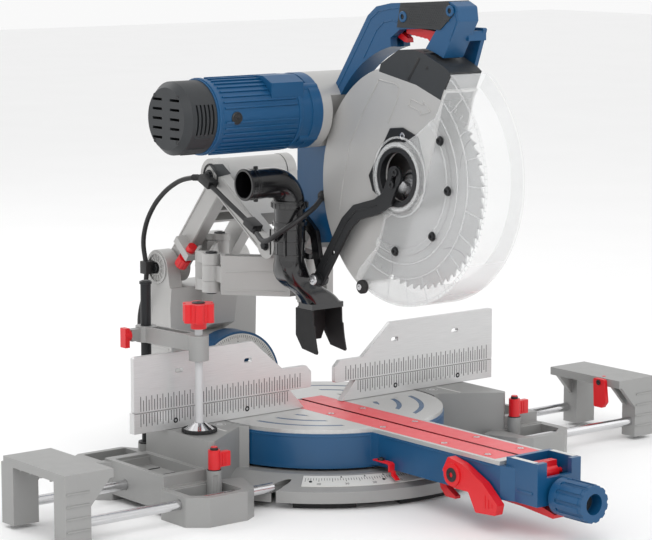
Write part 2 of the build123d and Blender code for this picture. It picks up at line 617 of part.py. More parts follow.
def dust_elbow():
    """Swivelling outlet; the hose or bag goes over its mouth."""
    x, y = DUCT_XY
    z_mouth = 466.0
    bend_r = 36.0
    path = FilletPolyline((x, y, 424.4), (x, y, z_mouth), (x - 88, y, z_mouth), radius=bend_r)
    start = Plane(origin=(x, y, 424.4), z_dir=(0, 0, 1))
    outer = sweep(start * Circle(DUCT_R - 0.5), path=path)
    inner = sweep(start * Circle(DUCT_R - 3.5), path=path)
    collar = rod_z((x, y), DUCT_R + 3, 424.4, 436) - rod_z((x, y), DUCT_R - 1, 424, 437)
    mouth = rod_x((y, z_mouth), DUCT_R - 0.5, x - 88, x - 80)
    elbow = outer + collar + mouth - inner
    return elbow - rod_x((y, z_mouth), DUCT_R - 3.5, x - 90, x - 79)


# ---------------------------------------------------------------- saw head

def cover_outline():
    return [(-172, 640), (-176, 652), (-216, 674), (-261, 676), (-331, 649), (-311, 606),
            (-256, 625)]


def upper_guard():
    """Light alloy shell over the rear and top of the blade."""
    shell = rod_x(BLADE_C, UPPER_GUARD_R, -GUARD_HALF, GUARD_HALF)
    shell -= rod_x(BLADE_C, UPPER_GUARD_R - 3.5, -GUARD_HALF + 3, GUARD_HALF - 3)
    keep = prism_x([(-126, 300), (-128, 322), (-172, 378), (-186, 420), (-204, 432),
                    (-262, 445), (-290, 520), (-314, 606), (-345, 660), (-345, 800),
                    (150, 800), (150, 300)], -40, 40)
    shell &= keep
    shell -= prism_x(cover_outline(), -40, 40)
    shell -= rod_x(GUARD_PIVOT, 37, -40, 0) + rod_x(BLADE_C, 30, 0, 40)
    return shell


def guard_top_cover():
    cover = prism_x(cover_outline(), -GUARD_HALF, GUARD_HALF)
    cover &= rod_x(GUARD_PIVOT, LOWER_GUARD_R - LOWER_GUARD_WALL - 0.9, -40, 40)
    cover -= prism_x([(-185, 630), (-184, 648), (-219, 669), (-260, 671), (-322, 647),
                      (-306, 600), (-250, 610)], -GUARD_HALF + 2.5, GUARD_HALF - 2.5)
    for i in range(4):
        y = -246 - 14 * i
        cover -= prism_x([(y, 690), (y - 4, 690), (y - 4, 640), (y, 640)], -22, 22)
    return cover


def arbor_plate():
    plate = prism_x([(-200, 558), (-228, 561), (-262, 550), (-276, 512), (-274, 470),
                     (-246, 440), (-206, 438), (-178, 452), (-160, 462), (-151, 484)],
                    -33, -GUARD_HALF)
    boss = rod_x(GUARD_PIVOT, 44, -42.5, -GUARD_HALF)
    return plate + boss - rod_x(GUARD_PIVOT, 37, -50, 0)


def saw_blade():
    """Disc with 60 carbide tips; each tooth is a short ramp and a steep face."""
    teeth = 60
    points = []
    for i in range(teeth):
        a = 2 * pi * i / teeth
        step = 2 * pi / teeth
        for part, radius in ((0.0, BLADE_R), (0.12, BLADE_R - 7), (0.55, BLADE_R - 5)):
            t = a + step * part
            points.append((BLADE_C[0] + radius * cos(t), BLADE_C[1] + radius * sin(t)))
    disc = prism_x(points, -1.3, 1.3)
    return disc - rod_x(BLADE_C, 15, -2, 2)


def blade_arbor():
    """Spindle, flanges, clamp bolt and the driven pulley."""
    shaft = rod_x(BLADE_C, 14.9, -1.3, 1.3) + rod_x(BLADE_C, 26, 1.3, 8)
    shaft += rod_x(BLADE_C, 12, 8, 66) + rod_x(BLADE_C, 33, 48, 64)
    outer = rod_x(BLADE_C, 26, -8, -1.3) + rod_x(BLADE_C, 14, -12, -8)
    bolt = rod_x(BLADE_C, 10, -25, -12) - Pos(-24, BLADE_C[0], BLADE_C[1]) * Rot(0, 90, 0) \
        * extrude(RegularPolygon(5, 6), amount=8)
    return shaft + outer + bolt


def lower_guard():
    """Clear guard that rolls back round the hub as the head comes down."""
    py, pz = GUARD_PIVOT
    region = [(-195, 518), (-259, 551), (-304, 581), (-347, 657), (-372, 700), (-470, 700),
              (-470, 270), (-80, 270), (-122, 322), (-133, 342), (-172, 378), (-190, 420),
              (-183, 452), (-186, 500)]
    wall = rod_x(GUARD_PIVOT, LOWER_GUARD_R, -36, -33.6) & prism_x(region, -40, 0)
    wall += rod_x(GUARD_PIVOT, 52, -36, -33.6)
    lead, tail = radians(125.6), radians(-62)
    far = 420
    sector = prism_x([(py, pz), (py + far * cos(lead), pz + far * sin(lead)),
                      (py - far, pz + far), (py - far, pz - far),
                      (py + far * cos(tail), pz + far * sin(tail))], -40, 40)
    rim = ring_x(GUARD_PIVOT, LOWER_GUARD_R - LOWER_GUARD_WALL, LOWER_GUARD_R, -36, 36) & sector
    band = ring_x(GUARD_PIVOT, 165, LOWER_GUARD_R, 33.8, 36) & sector
    step = ring_x(GUARD_PIVOT, 106, 116, -38.5, -36) & prism_x(region, -40, 0)
    hub = rod_x(GUARD_PIVOT, 52, -41, -36)
    guard = wall + rim + band + step + hub
    return guard - rod_x(GUARD_PIVOT, 44.3, -50, -30)


def guard_link():
    """Cranked link from the bracket's stay up past the arbor."""
    route = [(-229, 490), (-212, 455), (-188, 441), (-140, 428), (-116, 408), LINK_FOOT]
    width = 24
    link = None
    for a, b in zip(route, route[1:]):
        piece = bar_x(a, b, width, -49.5, -44.5) + rod_x(b, width / 2, -49.5, -44.5)
        link = piece if link is None else link + piece
    link += rod_x(route[0], 15, -49.5, -44.5)
    link -= rod_x((-231, 494), 5, -50, -44) + rod_x((-225, 478), 5, -50, -44)
    link -= prism_x([(-236, 493), (-226, 495), (-220, 479), (-230, 477)], -50, -44)
    link -= rod_x((-86, 362), 4, -50, -44)
    link += rod_x(LINK_FOOT, 10, -58, -49.5)
    return link - rod_x(LINK_FOOT, 5 + SHAFT_FIT, -60, -40)


def head_neck():
    """Blue casting from the guard and drive housing back to the head's hinge."""
    neck = prism_x([(-60, 372), (-60, 530), (-8, 548), (36, 540), (37, 470), (34, 392),
                    (12, 362), (-12, 366)], -22, 22, 4)
    neck += rod_x(CHOP_PIVOT, 20, -24.2, 24.2)
    neck -= rod_x(BLADE_C, UPPER_GUARD_R, -40, 40)
    neck -= rod_x(GUARD_PIVOT, LOWER_GUARD_R + 1.6, -40, 40) & block(-50, 50, -200, 60, 440, 700)
    neck -= rod_x(MOTOR_C, 58, -70, 70)
    return neck - rod_x(CHOP_PIVOT, PIN_R + SHAFT_FIT, -50, 50)


def drive_housing():
    """Light alloy housing behind the guard, with the belt case on the right side."""
    drum = rod_x(MOTOR_C, 58, MOTOR_FLANGE_X, 42)
    drum -= rod_x(GUARD_PIVOT, LOWER_GUARD_R + 1.6, -39, 39)
    case = rod_x(BLADE_C, 42, 39, 72) + rod_x(MOTOR_C, 46, 39, 72)
    case += bar_x(BLADE_C, MOTOR_C, 84, 39, 72)
    hollow = rod_x(BLADE_C, 37, 44, 68) + rod_x(MOTOR_C, 37, 42, 68)
    hollow += bar_x(BLADE_C, MOTOR_C, 74, 44, 68)
    bearing = rod_x(BLADE_C, 40, GUARD_HALF, 44)
    housing = drum + case - hollow + bearing - rod_x(MOTOR_C, 24, MOTOR_FLANGE_X - 1, 50)
    housing -= rod_x(BLADE_C, 12 + SHAFT_FIT, 20, 44.5)
    return housing - rod_x(BLADE_C, 33.5, 45, 68)


def drive_belt():
    """Flat belt round both pulleys, running clear of them by a hair."""
    big, small, gap, thick = 33.0, 14.0, RUN, 3.0
    x0, x1 = 50.0, 62.0

    def loop(extra):
        a, b = big + gap + extra, small + gap + extra
        dy, dz = MOTOR_C[0] - BLADE_C[0], MOTOR_C[1] - BLADE_C[1]
        dist = hypot(dy, dz)
        base = atan2(dz, dy)
        off = acos((a - b) / dist)
        pts = []
        for c, r, ang in ((BLADE_C, a, base + off), (MOTOR_C, b, base + off),
                          (MOTOR_C, b, base - off), (BLADE_C, a, base - off)):
            pts.append((c[0] + r * cos(ang), c[1] + r * sin(ang)))
        return prism_x(pts, x0, x1) + rod_x(BLADE_C, a, x0, x1) + rod_x(MOTOR_C, b, x0, x1)

    return loop(thick) - loop(0.0)


def motor_housing():
    """Blue field case, open through its middle for the armature."""
    case = rod_x(MOTOR_C, MOTOR_R, MOTOR_CAP_X, MOTOR_FLANGE_X)
    case += rod_x(MOTOR_C, MOTOR_R + 2, -76, MOTOR_FLANGE_X)
    for i in range(4):
        a = pi / 4 + pi / 2 * i
        at = (MOTOR_C[0] + 50 * cos(a), MOTOR_C[1] + 50 * sin(a))
        case += rod_x(at, 9, -92, MOTOR_FLANGE_X)
    case += prism_x([(-66, 622), (-44, 632), (-22, 632), (-22, 560), (-66, 560)], -150, -90)
    case -= rod_x(MOTOR_C, 36, MOTOR_CAP_X - 1, MOTOR_FLANGE_X + 1)
    return case - rod_x(MOTOR_C, 50, MOTOR_CAP_X - 1, -90)


def motor_end_cap():
    cap = rod_x(MOTOR_C, 54.5, -296, MOTOR_CAP_X)
    cap += Pos(-301, MOTOR_C[0], MOTOR_C[1]) * Rot(0, -90, 0) * Cone(54.5, 46, 10)
    cap -= rod_x(MOTOR_C, 49, -292, MOTOR_CAP_X + 1)
    for i in range(5):
        z = MOTOR_C[1] - 28 + 14 * i
        cap -= block(-310, -288, MOTOR_C[0] - 34, MOTOR_C[0] - 10, z - 2, z + 2)
        cap -= block(-310, -288, MOTOR_C[0] + 10, MOTOR_C[0] + 34, z - 2, z + 2)
    for i in range(5):
        x = -288 + 7 * i
        cap -= block(x, x + 3, MOTOR_C[0] - 60, MOTOR_C[0] - 30, MOTOR_C[1] - 22, MOTOR_C[1] + 22)
    return cap


def motor_rotor():
    """Armature, shaft and small pulley on the motor axis."""
    rotor = rod_x(MOTOR_C, 6, -286, 66) + rod_x(MOTOR_C, 26, -230, -110)
    return rotor + rod_x(MOTOR_C, 15, -262, -236) + rod_x(MOTOR_C, 14, 48, 64)


def grip_outline():
    return [(-200, 706), (-208, 742), (-312, 748), (-326, 730), (-296, 706), (-240, 706)]


def grip_core():
    """The bar inside the soft grip."""
    return prism_x([(-196, 704.2), (-208, 737), (-308, 743), (-322, 729), (-294, 706.5)], -13, 13)


def trigger_pocket():
    return block(-9.8, 9.8, -284, -203, 694, 715)


def handle():
    """D-handle over the top of the guard, tied to the guard by a stay on the right."""
    body = prism_x([(-30, 588), (-48, 606), (-131, 721), (-151, 735), (-185, 741), (-316, 747),
                    (-332, 740), (-335, 720), (-296, 655), (-200, 640), (-100, 590)],
                   -19, 19, 5)
    body -= prism_x([(-184, 690), (-205, 703), (-288, 708), (-262, 676), (-262, 640),
                     (-186, 640)], -30, 30)
    body -= prism_x(grip_outline(), -30, 30)
    body += grip_core()
    bridge = block(12, 46, -322, -297, 690, 704)
    stay = prism_x([(-325, 708), (-294, 708), (-268, 640), (-262, 560), (-284, 560),
                    (-300, 640)], 39, 46, 3)
    root = rod_x((-273, 578), 13, GUARD_HALF, 46)
    body = body + bridge + stay + root
    body -= rod_x(GUARD_PIVOT, LOWER_GUARD_R + 1.0, -38.5, 38.5) - rod_x(GUARD_PIVOT, 150, -40, 40)
    body -= rod_x(GUARD_PIVOT, 151, -30.9, 30.9)
    body -= rod_x(MOTOR_C, 58, -70, 80)
    body -= trigger_pocket()
    body -= rod_x(TRIGGER_PIVOT, 2.5 + SHAFT_FIT, -13, 13)
    body -= prism_x([(-171, 704.5), (-214, 704.5), (-214, 674), (-182, 674), (-171, 690)],
                    -6.5, 6.5)
    body -= rod_x(LOCK_PIVOT, 2.5 + SHAFT_FIT, -14, 14)
    return body


def handle_grip():
    """Soft sleeve over the top bar."""
    sleeve = prism_x(grip_outline(), -20.5, 20.5)
    sleeve -= prism_x([(-190, 700), (-196, 704.2), (-208, 737), (-308, 743), (-322, 729),
                       (-294, 706.5), (-294, 690)], -13, 13)
    return sleeve - trigger_pocket()


def trigger():
    bar = prism_x([(-208, 709), (-209, 697), (-256, 691), (-263, 685.5), (-267, 685.5),
                   (-279.5, 702), (-262, 703.6), (-222, 706), (-216, 711)], -9, 9)
    return bar + rod_x(TRIGGER_PIVOT, 4.5, -9, 9) + rod_x(TRIGGER_PIVOT, 2.5, -12.8, 12.8)


def lock_lever():
    """Small lever that has to be pressed before the trigger moves."""
    lever = prism_x([(-182, 701), (-192, 698), (-207, 690), (-208, 683.5), (-200, 684),
                     (-182, 692)], -5.5, 5.5)
    return lever + rod_x(LOCK_PIVOT, 6, -5.5, 5.5) + rod_x(LOCK_PIVOT, 2.5, -13.5, 13.5)


# ---------------------------------------------------------------- mains lead

def cable(points, radius=LEAD_R):
    """Tube along straight runs joined by tangent arcs; returns it with its arc radii."""
    radii = []
    for a, b, c in zip(points, points[1:], points[2:]):
        u, v = Vector(*b) - Vector(*a), Vector(*c) - Vector(*b)
        half = radians(u.get_angle(v)) / 2
        radii.append(0.45 * min(u.length, v.length) / tan(half))
    path = FilletPolyline(*[Vector(*p) for p in points], radius=radii)
    start = Vector(*points[1]) - Vector(*points[0])
    tube = sweep(Plane(origin=points[0], z_dir=start) * Circle(radius), path=path)
    print("arc radii", [round(r) for r in radii], "length", round(path.length),
          "volume ratio", round(tube.volume / (pi * radius ** 2 * path.length), 4))
    return tube


ARC_ROUTE = [(-98, 346, 298), (-99, 354, 334), (-99, 342, 370), (-98, 318, 402),
             (-96, 286, 428), (-94, 250, 446), (-92, 214, 453)]
ON_ARM_ROUTE = [(-91, 198, 453), (-90, 166, 440), (-89, 128, 420), (-88, 90, 401),
                (-89, 62, 386)]
HEAD_ROUTE = [(-92, 50, 380), (-100, 26, 371), (-112, -6, 376), (-110, -38, 394),
              (-88, -58, 414), (-56, -54, 430), (-25.6, -30, 440)]
POST_ROUTE = [(-98, 344, 290), (-99, 348, 252), (-98, 366, 214), (-84, 388, 178),
              (-54, 398, 146), (-24, 398, 120)]
LEAD_ROUTE = [LEAD_EXIT, (0, 428, 105), (2, 462, 72), (8, 474, 30), (50, 474, 4.4), (96, 474, 4.4)]
COIL_C = (115.0, 528.0)
COIL_R = 46.0


def mains_coil():
    outer = rod_z(COIL_C, COIL_R + 12, 0.2, 26)
    return outer - rod_z(COIL_C, COIL_R - 12, -1, 30)


def mains_plug():
    """Two-pin plug lying beside the coil, with its cord sleeve."""
    x, y = COIL_C[0] + 60, COIL_C[1] - 54
    sleeve = rod_x((y, 12), 4.6, COIL_C[0] + 22, x + 1)
    pins = rod_x((y - 9, 12), 2.4, x + 37, x + 56) + rod_x((y + 9, 12), 2.4, x + 37, x + 56)
    return block(x, x + 38, y - 14, y + 14, 0.2, 24) + sleeve + pins


def build():
    right_fence, right_slide = fixed_fence(), sliding_fence()
    right_support, rods = support_shell(), support_rods()
    pieces = {
        "base_casting": base_casting(), "mitre_scale": mitre_scale(),
        "right_fixed_fence": right_fence, "left_fixed_fence": mirrored(right_fence),
        "right_sliding_fence": right_slide, "left_sliding_fence": mirrored(right_slide),
        "clamp_post": hold_down_post(), "clamp_arm": clamp_arm(),
        "clamp_arm_lock": wing_lock_x(POST_XY[0] - 30.3, POST_XY[1], 240),
        "clamp_screw": clamp_screw(), "clamp_pad": clamp_pad(),
        "right_support": right_support, "left_support": mirrored(right_support),
        "right_rods": rods, "left_rods": mirrored(rods), "flip_stop": flip_stop(),
        "right_rail_lock": rail_lock(1), "left_rail_lock": rail_lock(-1),
        "turntable": turntable(), "table_plate": table_plate(), "kerf_inserts": kerf_inserts(),
        "mitre_lock_knob": mitre_lock_knob(),
        "detent_lever": detent_lever(), "bevel_lever": bevel_lever(),
        "bevel_selector": bevel_selector(), "upright": upright(),
        "rear_glide_arm": rear_glide_arm(), "front_glide_arm": front_glide_arm(),
        "head_bracket": head_bracket(), "chop_shaft": chop_shaft(),
        "lower_link_arm": lower_link_arm(), "upper_link_arm": upper_link_arm(),
        "glide_lock_knob": glide_lock_knob(), "dust_chute": dust_chute(),
        "chute_flaps": chute_flaps(), "dust_elbow": dust_elbow(),
        "upper_guard": upper_guard(), "guard_top_cover": guard_top_cover(),
        "arbor_plate": arbor_plate(), "saw_blade": saw_blade(), "blade_arbor": blade_arbor(),
        "lower_guard": lower_guard(), "guard_link": guard_link(),
        "head_neck": head_neck(), "drive_housing": drive_housing(), "drive_belt": drive_belt(),
        "motor_housing": motor_housing(), "motor_end_cap": motor_end_cap(),
        "motor_rotor": motor_rotor(), "handle": handle(), "handle_grip": handle_grip(),
        "trigger": trigger(), "lock_lever": lock_lever(),
        "cable_arc": cable(ARC_ROUTE), "cable_on_arm": cable(ON_ARM_ROUTE),
        "cable_head": cable(HEAD_ROUTE), "cable_on_post": cable(POST_ROUTE),
        "mains_lead": cable(LEAD_ROUTE), "mains_coil": mains_coil(), "mains_plug": mains_plug(),
    }
    return pieces


for node, shape in build().items():
    save(shape, node)
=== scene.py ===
from math import atan2, cos, degrees, hypot, pi, radians, sin

import bmesh
import bpy
from mathutils import Matrix, Vector


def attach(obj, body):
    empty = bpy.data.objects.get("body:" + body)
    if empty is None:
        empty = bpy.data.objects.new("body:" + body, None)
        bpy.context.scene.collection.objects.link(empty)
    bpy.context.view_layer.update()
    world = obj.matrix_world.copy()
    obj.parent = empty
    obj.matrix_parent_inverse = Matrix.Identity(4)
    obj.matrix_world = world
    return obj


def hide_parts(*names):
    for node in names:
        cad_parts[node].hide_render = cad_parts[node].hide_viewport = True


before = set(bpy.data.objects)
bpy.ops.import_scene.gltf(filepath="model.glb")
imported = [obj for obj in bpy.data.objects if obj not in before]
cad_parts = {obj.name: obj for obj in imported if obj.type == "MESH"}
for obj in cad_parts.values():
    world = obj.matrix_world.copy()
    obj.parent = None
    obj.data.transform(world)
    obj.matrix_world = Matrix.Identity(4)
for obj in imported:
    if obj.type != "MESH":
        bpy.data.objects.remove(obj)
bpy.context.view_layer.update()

MM = 0.001

# Driving points of the saw, in millimetres, as (y, z) unless they say otherwise.
BLADE_C = (-220.0, 470.0)
GUARD_P = (-226.0, 488.0)
MOTOR_C = (-15.0, 574.0)
LINK_ROOT, LINK_KNEE, LINK_HEAD = (333.0, 292.0), (192.0, 456.0), (48.0, 360.0)
LINK_FOOT = (-50.0, 316.0)
TABLE_Z = 105.0
SEAM_Z = 136.6
SCALE_R, SCALE_Z = 216.0, 44.0   # inner edge of the mitre scale's slope
SCALE_SLOPE = 0.365   # its fall per millimetre outwards
SCALE_LIFT = 1.26     # top of the scale plate over that slope
BEVEL_SPREAD = 1.45   # degrees on the drum per degree marked on the bevel scale
GLIDE_REAR, GLIDE_ELBOW, GLIDE_FRONT = (0.0, 274.0), (-101.67, 157.0), (0.0, 40.0)   # (x, y)
SPINDLE = (-268, -40)   # the clamp's, (x, y)
TILT_Z = 105.0
COIL_C = (115.0, 528.0)

# ---------------------------------------------------------------- camera and lead

camera_data = bpy.data.cameras.new("camera")
camera_data.lens, camera_data.sensor_width = 134, 36
camera = bpy.data.objects.new("camera", camera_data)
bpy.context.collection.objects.link(camera)
camera.location = (-2.333, -2.936, 0.886)
aim = Vector((0.0058, 0, 0.3191)) - camera.location
camera.rotation_euler = aim.to_track_quat("-Z", "Y").to_euler()
bpy.context.scene.camera = camera

MATERIALS = {}


def lead_points():
    """Down from the gland on the tilt axis, along the bench and into the coil; in millimetres."""
    points = [(0, 380, 105), (0, 428, 105), (2, 462, 72), (8, 474, 30), (50, 474, 4.4),
              (96, 474, 4.4)]
    layers = [(4.3, 54), (4.3, 46), (4.3, 38), (12.4, 38), (12.4, 46), (12.4, 54), (20.5, 54),
              (20.5, 46)]
    per_turn = 14
    last = len(layers) * per_turn
    for i in range(1, last):
        turn = i / per_turn
        now, after = layers[int(turn)], layers[min(int(turn) + 1, len(layers) - 1)]
        part = turn - int(turn)
        ease = max(0.0, (part - 0.72) / 0.28)
        r = now[1] + (after[1] - now[1]) * ease
        z = now[0] + (after[0] - now[0]) * ease
        a = -pi / 2 + 2 * pi * turn
        points.append((COIL_C[0] + r * cos(a), COIL_C[1] + r * sin(a), z))
    points += [(COIL_C[0] + 14, COIL_C[1] - 47, 20), (COIL_C[0] + 34, COIL_C[1] - 52, 15.5),
               (COIL_C[0] + 48, COIL_C[1] - 54, 12.4), (COIL_C[0] + 59, COIL_C[1] - 54, 12)]
    return [Vector(p) * MM for p in points]


def make_lead():
    curve = bpy.data.curves.new("mains_lead_run", "CURVE")
    curve.dimensions = "3D"
    curve.bevel_depth = 0.004
    curve.bevel_resolution = 4
    curve.resolution_u = 6
    points = lead_points()
    spline = curve.splines.new("NURBS")
    spline.points.add(len(points) - 1)
    for control, point in zip(spline.points, points):
        control.co = (*point, 1)
    spline.order_u = 3
    spline.use_endpoint_u = True
    lead = bpy.data.objects.new("mains_lead_run", curve)
    bpy.context.collection.objects.link(lead)
    return lead


lead = make_lead()


# ---------------------------------------------------------------- materials

class Net:
    """A small wrapper that wires one material's nodes."""

    def __init__(self, name):
        self.material = bpy.data.materials.new(name)
        self.material.use_nodes = True
        self.tree = self.material.node_tree
        self.shader = self.tree.nodes["Principled BSDF"]

    def add(self, kind, **inputs):
        node = self.tree.nodes.new(kind)
        for key, value in inputs.items():
            if hasattr(node, key):
                setattr(node, key, value)
            else:
                self.feed(node, key.replace("_", " "), value)
        return node

    def feed(self, node, socket, value):
        target = node.inputs[socket]
        if isinstance(value, bpy.types.NodeSocket):
            self.tree.links.new(value, target)
        else:
            target.default_value = value

    def math(self, operation, a, b=0.0, clamp=False):
        node = self.tree.nodes.new("ShaderNodeMath")
        node.operation, node.use_clamp = operation, clamp
        for socket, value in ((0, a), (1, b)):
            self.feed(node, socket, value)
        return node.outputs[0]

    def spread(self, value, low, high, start=0.0, end=1.0):
        node = self.tree.nodes.new("ShaderNodeMapRange")
        for socket, given in ((0, value), (1, start), (2, end), (3, low), (4, high)):
            self.feed(node, socket, given)
        return node.outputs[0]

    def mix(self, factor, a, b):
        node = self.tree.nodes.new("ShaderNodeMix")
        node.data_type = "RGBA"
        self.feed(node, 0, factor)
        for socket, value in ((6, a), (7, b)):
            self.feed(node, socket, value if isinstance(value, bpy.types.NodeSocket)
                      else (*value, 1))
        return node.outputs[2]

    def noise(self, vector, scale, detail=3.0):
        node = self.tree.nodes.new("ShaderNodeTexNoise")
        for socket, value in (("Vector", vector), ("Scale", scale), ("Detail", detail)):
            self.feed(node, socket, value)
        return node.outputs[0]


def brushed(net, place, brush):
    """Coordinates stretched along a line, or round a ring, for machined marks."""
    kind, axis = brush[0], brush[1]
    if kind == "line":
        node = net.add("ShaderNodeMapping")
        net.feed(node, "Vector", place)
        net.feed(node, "Scale", [0.02 if letter == axis else 1.0 for letter in "XYZ"])
        return node.outputs[0]
    shift = net.add("ShaderNodeVectorMath", operation="SUBTRACT")
    net.feed(shift, 0, place)
    net.feed(shift, 1, brush[2])
    flat = net.add("ShaderNodeVectorMath", operation="MULTIPLY")
    net.feed(flat, 0, shift.outputs[0])
    net.feed(flat, 1, [0.0 if letter == axis else 1.0 for letter in "XYZ"])
    length = net.add("ShaderNodeVectorMath", operation="LENGTH")
    net.feed(length, 0, flat.outputs[0])
    out = net.add("ShaderNodeCombineXYZ")
    net.feed(out, 0, length.outputs["Value"])
    return out.outputs[0]


def surface(name, color, rough, metal=0.0, mottle=0.05, grain=900.0, bump=0.12, wear_and_edge_highlight=None,
            coat=0.0, brush=None, split=None, edge=0.0007):
    """One finish: drifting colour, uneven gloss, fine relief and edges painted lighter, partly as
    rubbed wear and partly as a painted highlight.
    """
    net = Net(name)
    place = net.add("ShaderNodeTexCoord").outputs["Object"]
    drift = net.noise(place, 14.0, 4.0)
    fine_place = brushed(net, place, brush) if brush else place
    fine = net.noise(fine_place, grain, 2.0)
    dark = [c * (1 - mottle) for c in color]
    light = [min(1.0, c * (1 + mottle)) for c in color]
    paint = net.mix(drift, dark, light)
    if brush:
        streaks = net.spread(fine, 0.0, 0.35, 0.35, 0.7)
        paint = net.mix(streaks, paint, [c * 0.72 for c in color])
    round_edge = net.add("ShaderNodeBevel", samples=4)
    net.feed(round_edge, "Radius", edge)
    # edges are painted lighter: partly rubbed wear, partly a painted highlight where the edges
    # catch the light
    if wear_and_edge_highlight:
        normal = net.add("ShaderNodeNewGeometry").outputs["Normal"]
        dot = net.add("ShaderNodeVectorMath", operation="DOT_PRODUCT")
        net.feed(dot, 0, round_edge.outputs[0])
        net.feed(dot, 1, normal)
        wear_and_highlight_mask = net.spread(dot.outputs["Value"], 1.0, 0.0, 0.90, 0.995)
        wear_and_highlight_mask = net.math("MULTIPLY", wear_and_highlight_mask, net.spread(drift, 0.15, 0.75, 0.35, 0.65))
        paint = net.mix(wear_and_highlight_mask, paint, wear_and_edge_highlight)
    if split:
        axis, level, other = split
        parts = net.add("ShaderNodeSeparateXYZ")
        net.feed(parts, 0, place)
        beyond = net.math("GREATER_THAN", parts.outputs[axis], level)
        paint = net.mix(beyond, other, paint)
    net.feed(net.shader, "Base Color", paint)
    net.feed(net.shader, "Roughness",
             net.spread(net.noise(place, 60.0, 3.0), max(0.03, rough - 0.07), rough + 0.07))
    net.shader.inputs["Metallic"].default_value = metal
    net.shader.inputs["Coat Weight"].default_value = coat
    net.shader.inputs["Coat Roughness"].default_value = 0.12
    relief = net.add("ShaderNodeBump")
    for socket, value in (("Strength", bump), ("Distance", 0.0002), ("Height", fine),
                          ("Normal", round_edge.outputs[0])):
        net.feed(relief, socket, value)
    net.feed(net.shader, "Normal", relief.outputs[0])
    MATERIALS[name] = net.material
    return net


BLUE = (0.003, 0.070, 0.180)
RED = (0.68, 0.004, 0.010)
PALE = (0.72, 0.72, 0.71)

# the last colour of each finish is its lighter edge colour: rubbed wear and a painted highlight
surface("cast_alloy", (0.47, 0.465, 0.455), 0.42, 0.3, 0.05, 700, 0.16, (0.70, 0.70, 0.69))
surface("base_alloy", (0.33, 0.33, 0.325), 0.46, 0.3, 0.07, 620, 0.20, (0.52, 0.52, 0.51))
surface("fence_alloy", (0.66, 0.66, 0.66), 0.34, 0.5, 0.03, 1500, 0.06, PALE,
        brush=("line", "X"))
surface("plate_alloy", (0.60, 0.60, 0.59), 0.32, 0.5, 0.03, 2600, 0.06, PALE,
        brush=("ring", "Z", (0, 0, 0)))
surface("blue_alloy", BLUE, 0.36, 0.0, 0.10, 800, 0.16, (0.02, 0.18, 0.34), coat=0.25)
surface("blue_plastic", BLUE, 0.40, 0.0, 0.08, 1500, 0.12, (0.012, 0.15, 0.31))
surface("red_plastic", RED, 0.36, 0.0, 0.07, 1300, 0.10, (0.75, 0.03, 0.03), coat=0.15)
surface("red_insert", (0.74, 0.022, 0.038), 0.36, 0.0, 0.06, 1200, 0.10, (0.8, 0.12, 0.12),
        coat=0.2)
surface("black_plastic", (0.010, 0.010, 0.011), 0.46, 0.0, 0.2, 1300, 0.18, (0.05, 0.05, 0.05))
surface("black_gloss", (0.005, 0.005, 0.006), 0.18, 0.0, 0.2, 500, 0.05, (0.04, 0.04, 0.04),
        coat=0.6)
surface("anthracite", (0.022, 0.025, 0.028), 0.50, 0.0, 0.10, 1500, 0.22, (0.07, 0.075, 0.08))
surface("steel", (0.56, 0.56, 0.57), 0.26, 1.0, 0.05, 1200, 0.05, (0.8, 0.8, 0.8))
surface("black_steel", (0.022, 0.023, 0.025), 0.38, 0.6, 0.15, 900, 0.12, (0.14, 0.14, 0.14))
surface("chrome", (0.74, 0.74, 0.75), 0.10, 1.0, 0.03, 500, 0.03, (0.9, 0.9, 0.9))
surface("rubber", (0.016, 0.016, 0.017), 0.72, 0.0, 0.15, 1200, 0.35, (0.05, 0.05, 0.05))
surface("cable", (0.011, 0.011, 0.012), 0.50, 0.0, 0.15, 1600, 0.15, (0.04, 0.04, 0.04))
surface("scale_plate", (0.64, 0.64, 0.62), 0.36, 0.1, 0.04, 1500, 0.05, PALE)
surface("motor_core", (0.26, 0.13, 0.07), 0.42, 0.7, 0.15, 1400, 0.3, (0.5, 0.35, 0.25),
        brush=("line", "X"))
# finishes of single nodes
surface("blade_steel", (0.44, 0.44, 0.45), 0.32, 1.0, 0.04, 3000, 0.05, (0.7, 0.7, 0.7),
        brush=("ring", "X", (0, BLADE_C[0] * MM, BLADE_C[1] * MM)))
surface("rod_steel", (0.66, 0.66, 0.67), 0.18, 1.0, 0.04, 1500, 0.04, (0.9, 0.9, 0.9),
        brush=("line", "X"))
surface("grip_rubber", (0.026, 0.028, 0.030), 0.66, 0.0, 0.1, 430, 0.9, (0.07, 0.07, 0.07))
surface("clamp_finish", RED, 0.32, 0.0, 0.06, 1300, 0.10, (0.75, 0.04, 0.04),
        split=(2, 0.262, (0.55, 0.55, 0.56)))
surface("ink", (0.022, 0.022, 0.024), 0.5, 0.0, 0.1, 900, 0.05)
surface("carbide", (0.20, 0.20, 0.195), 0.34, 1.0, 0.1, 1500, 0.1, (0.5, 0.5, 0.5))


def clear_plastic():
    """Slightly milky polycarbonate that turns denser where it is seen edge on."""
    net = surface("clear_guard", (0.86, 0.87, 0.87), 0.16, 0.0, 0.02, 260, 0.03,
                  (0.97, 0.97, 0.97), coat=0.5, edge=0.001)
    facing = net.add("ShaderNodeLayerWeight")
    facing.inputs["Blend"].default_value = 0.35
    haze = net.spread(facing.outputs["Facing"], 0.13, 0.62)
    net.feed(net.shader, "Alpha", haze)
    net.shader.inputs["IOR"].default_value = 1.5


clear_plastic()

NODE_FINISH = {"saw_blade": "blade_steel", "right_rods": "rod_steel", "left_rods": "rod_steel",
               "handle_grip": "grip_rubber", "clamp_screw": "clamp_finish"}

for name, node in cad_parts.items():
    for slot in node.material_slots:
        slot_name = slot.material.name.split(".")[0] if slot.material else "steel"
        slot.material = MATERIALS[NODE_FINISH.get(name, slot_name)]


# ---------------------------------------------------------------- mesh helpers, millimetres

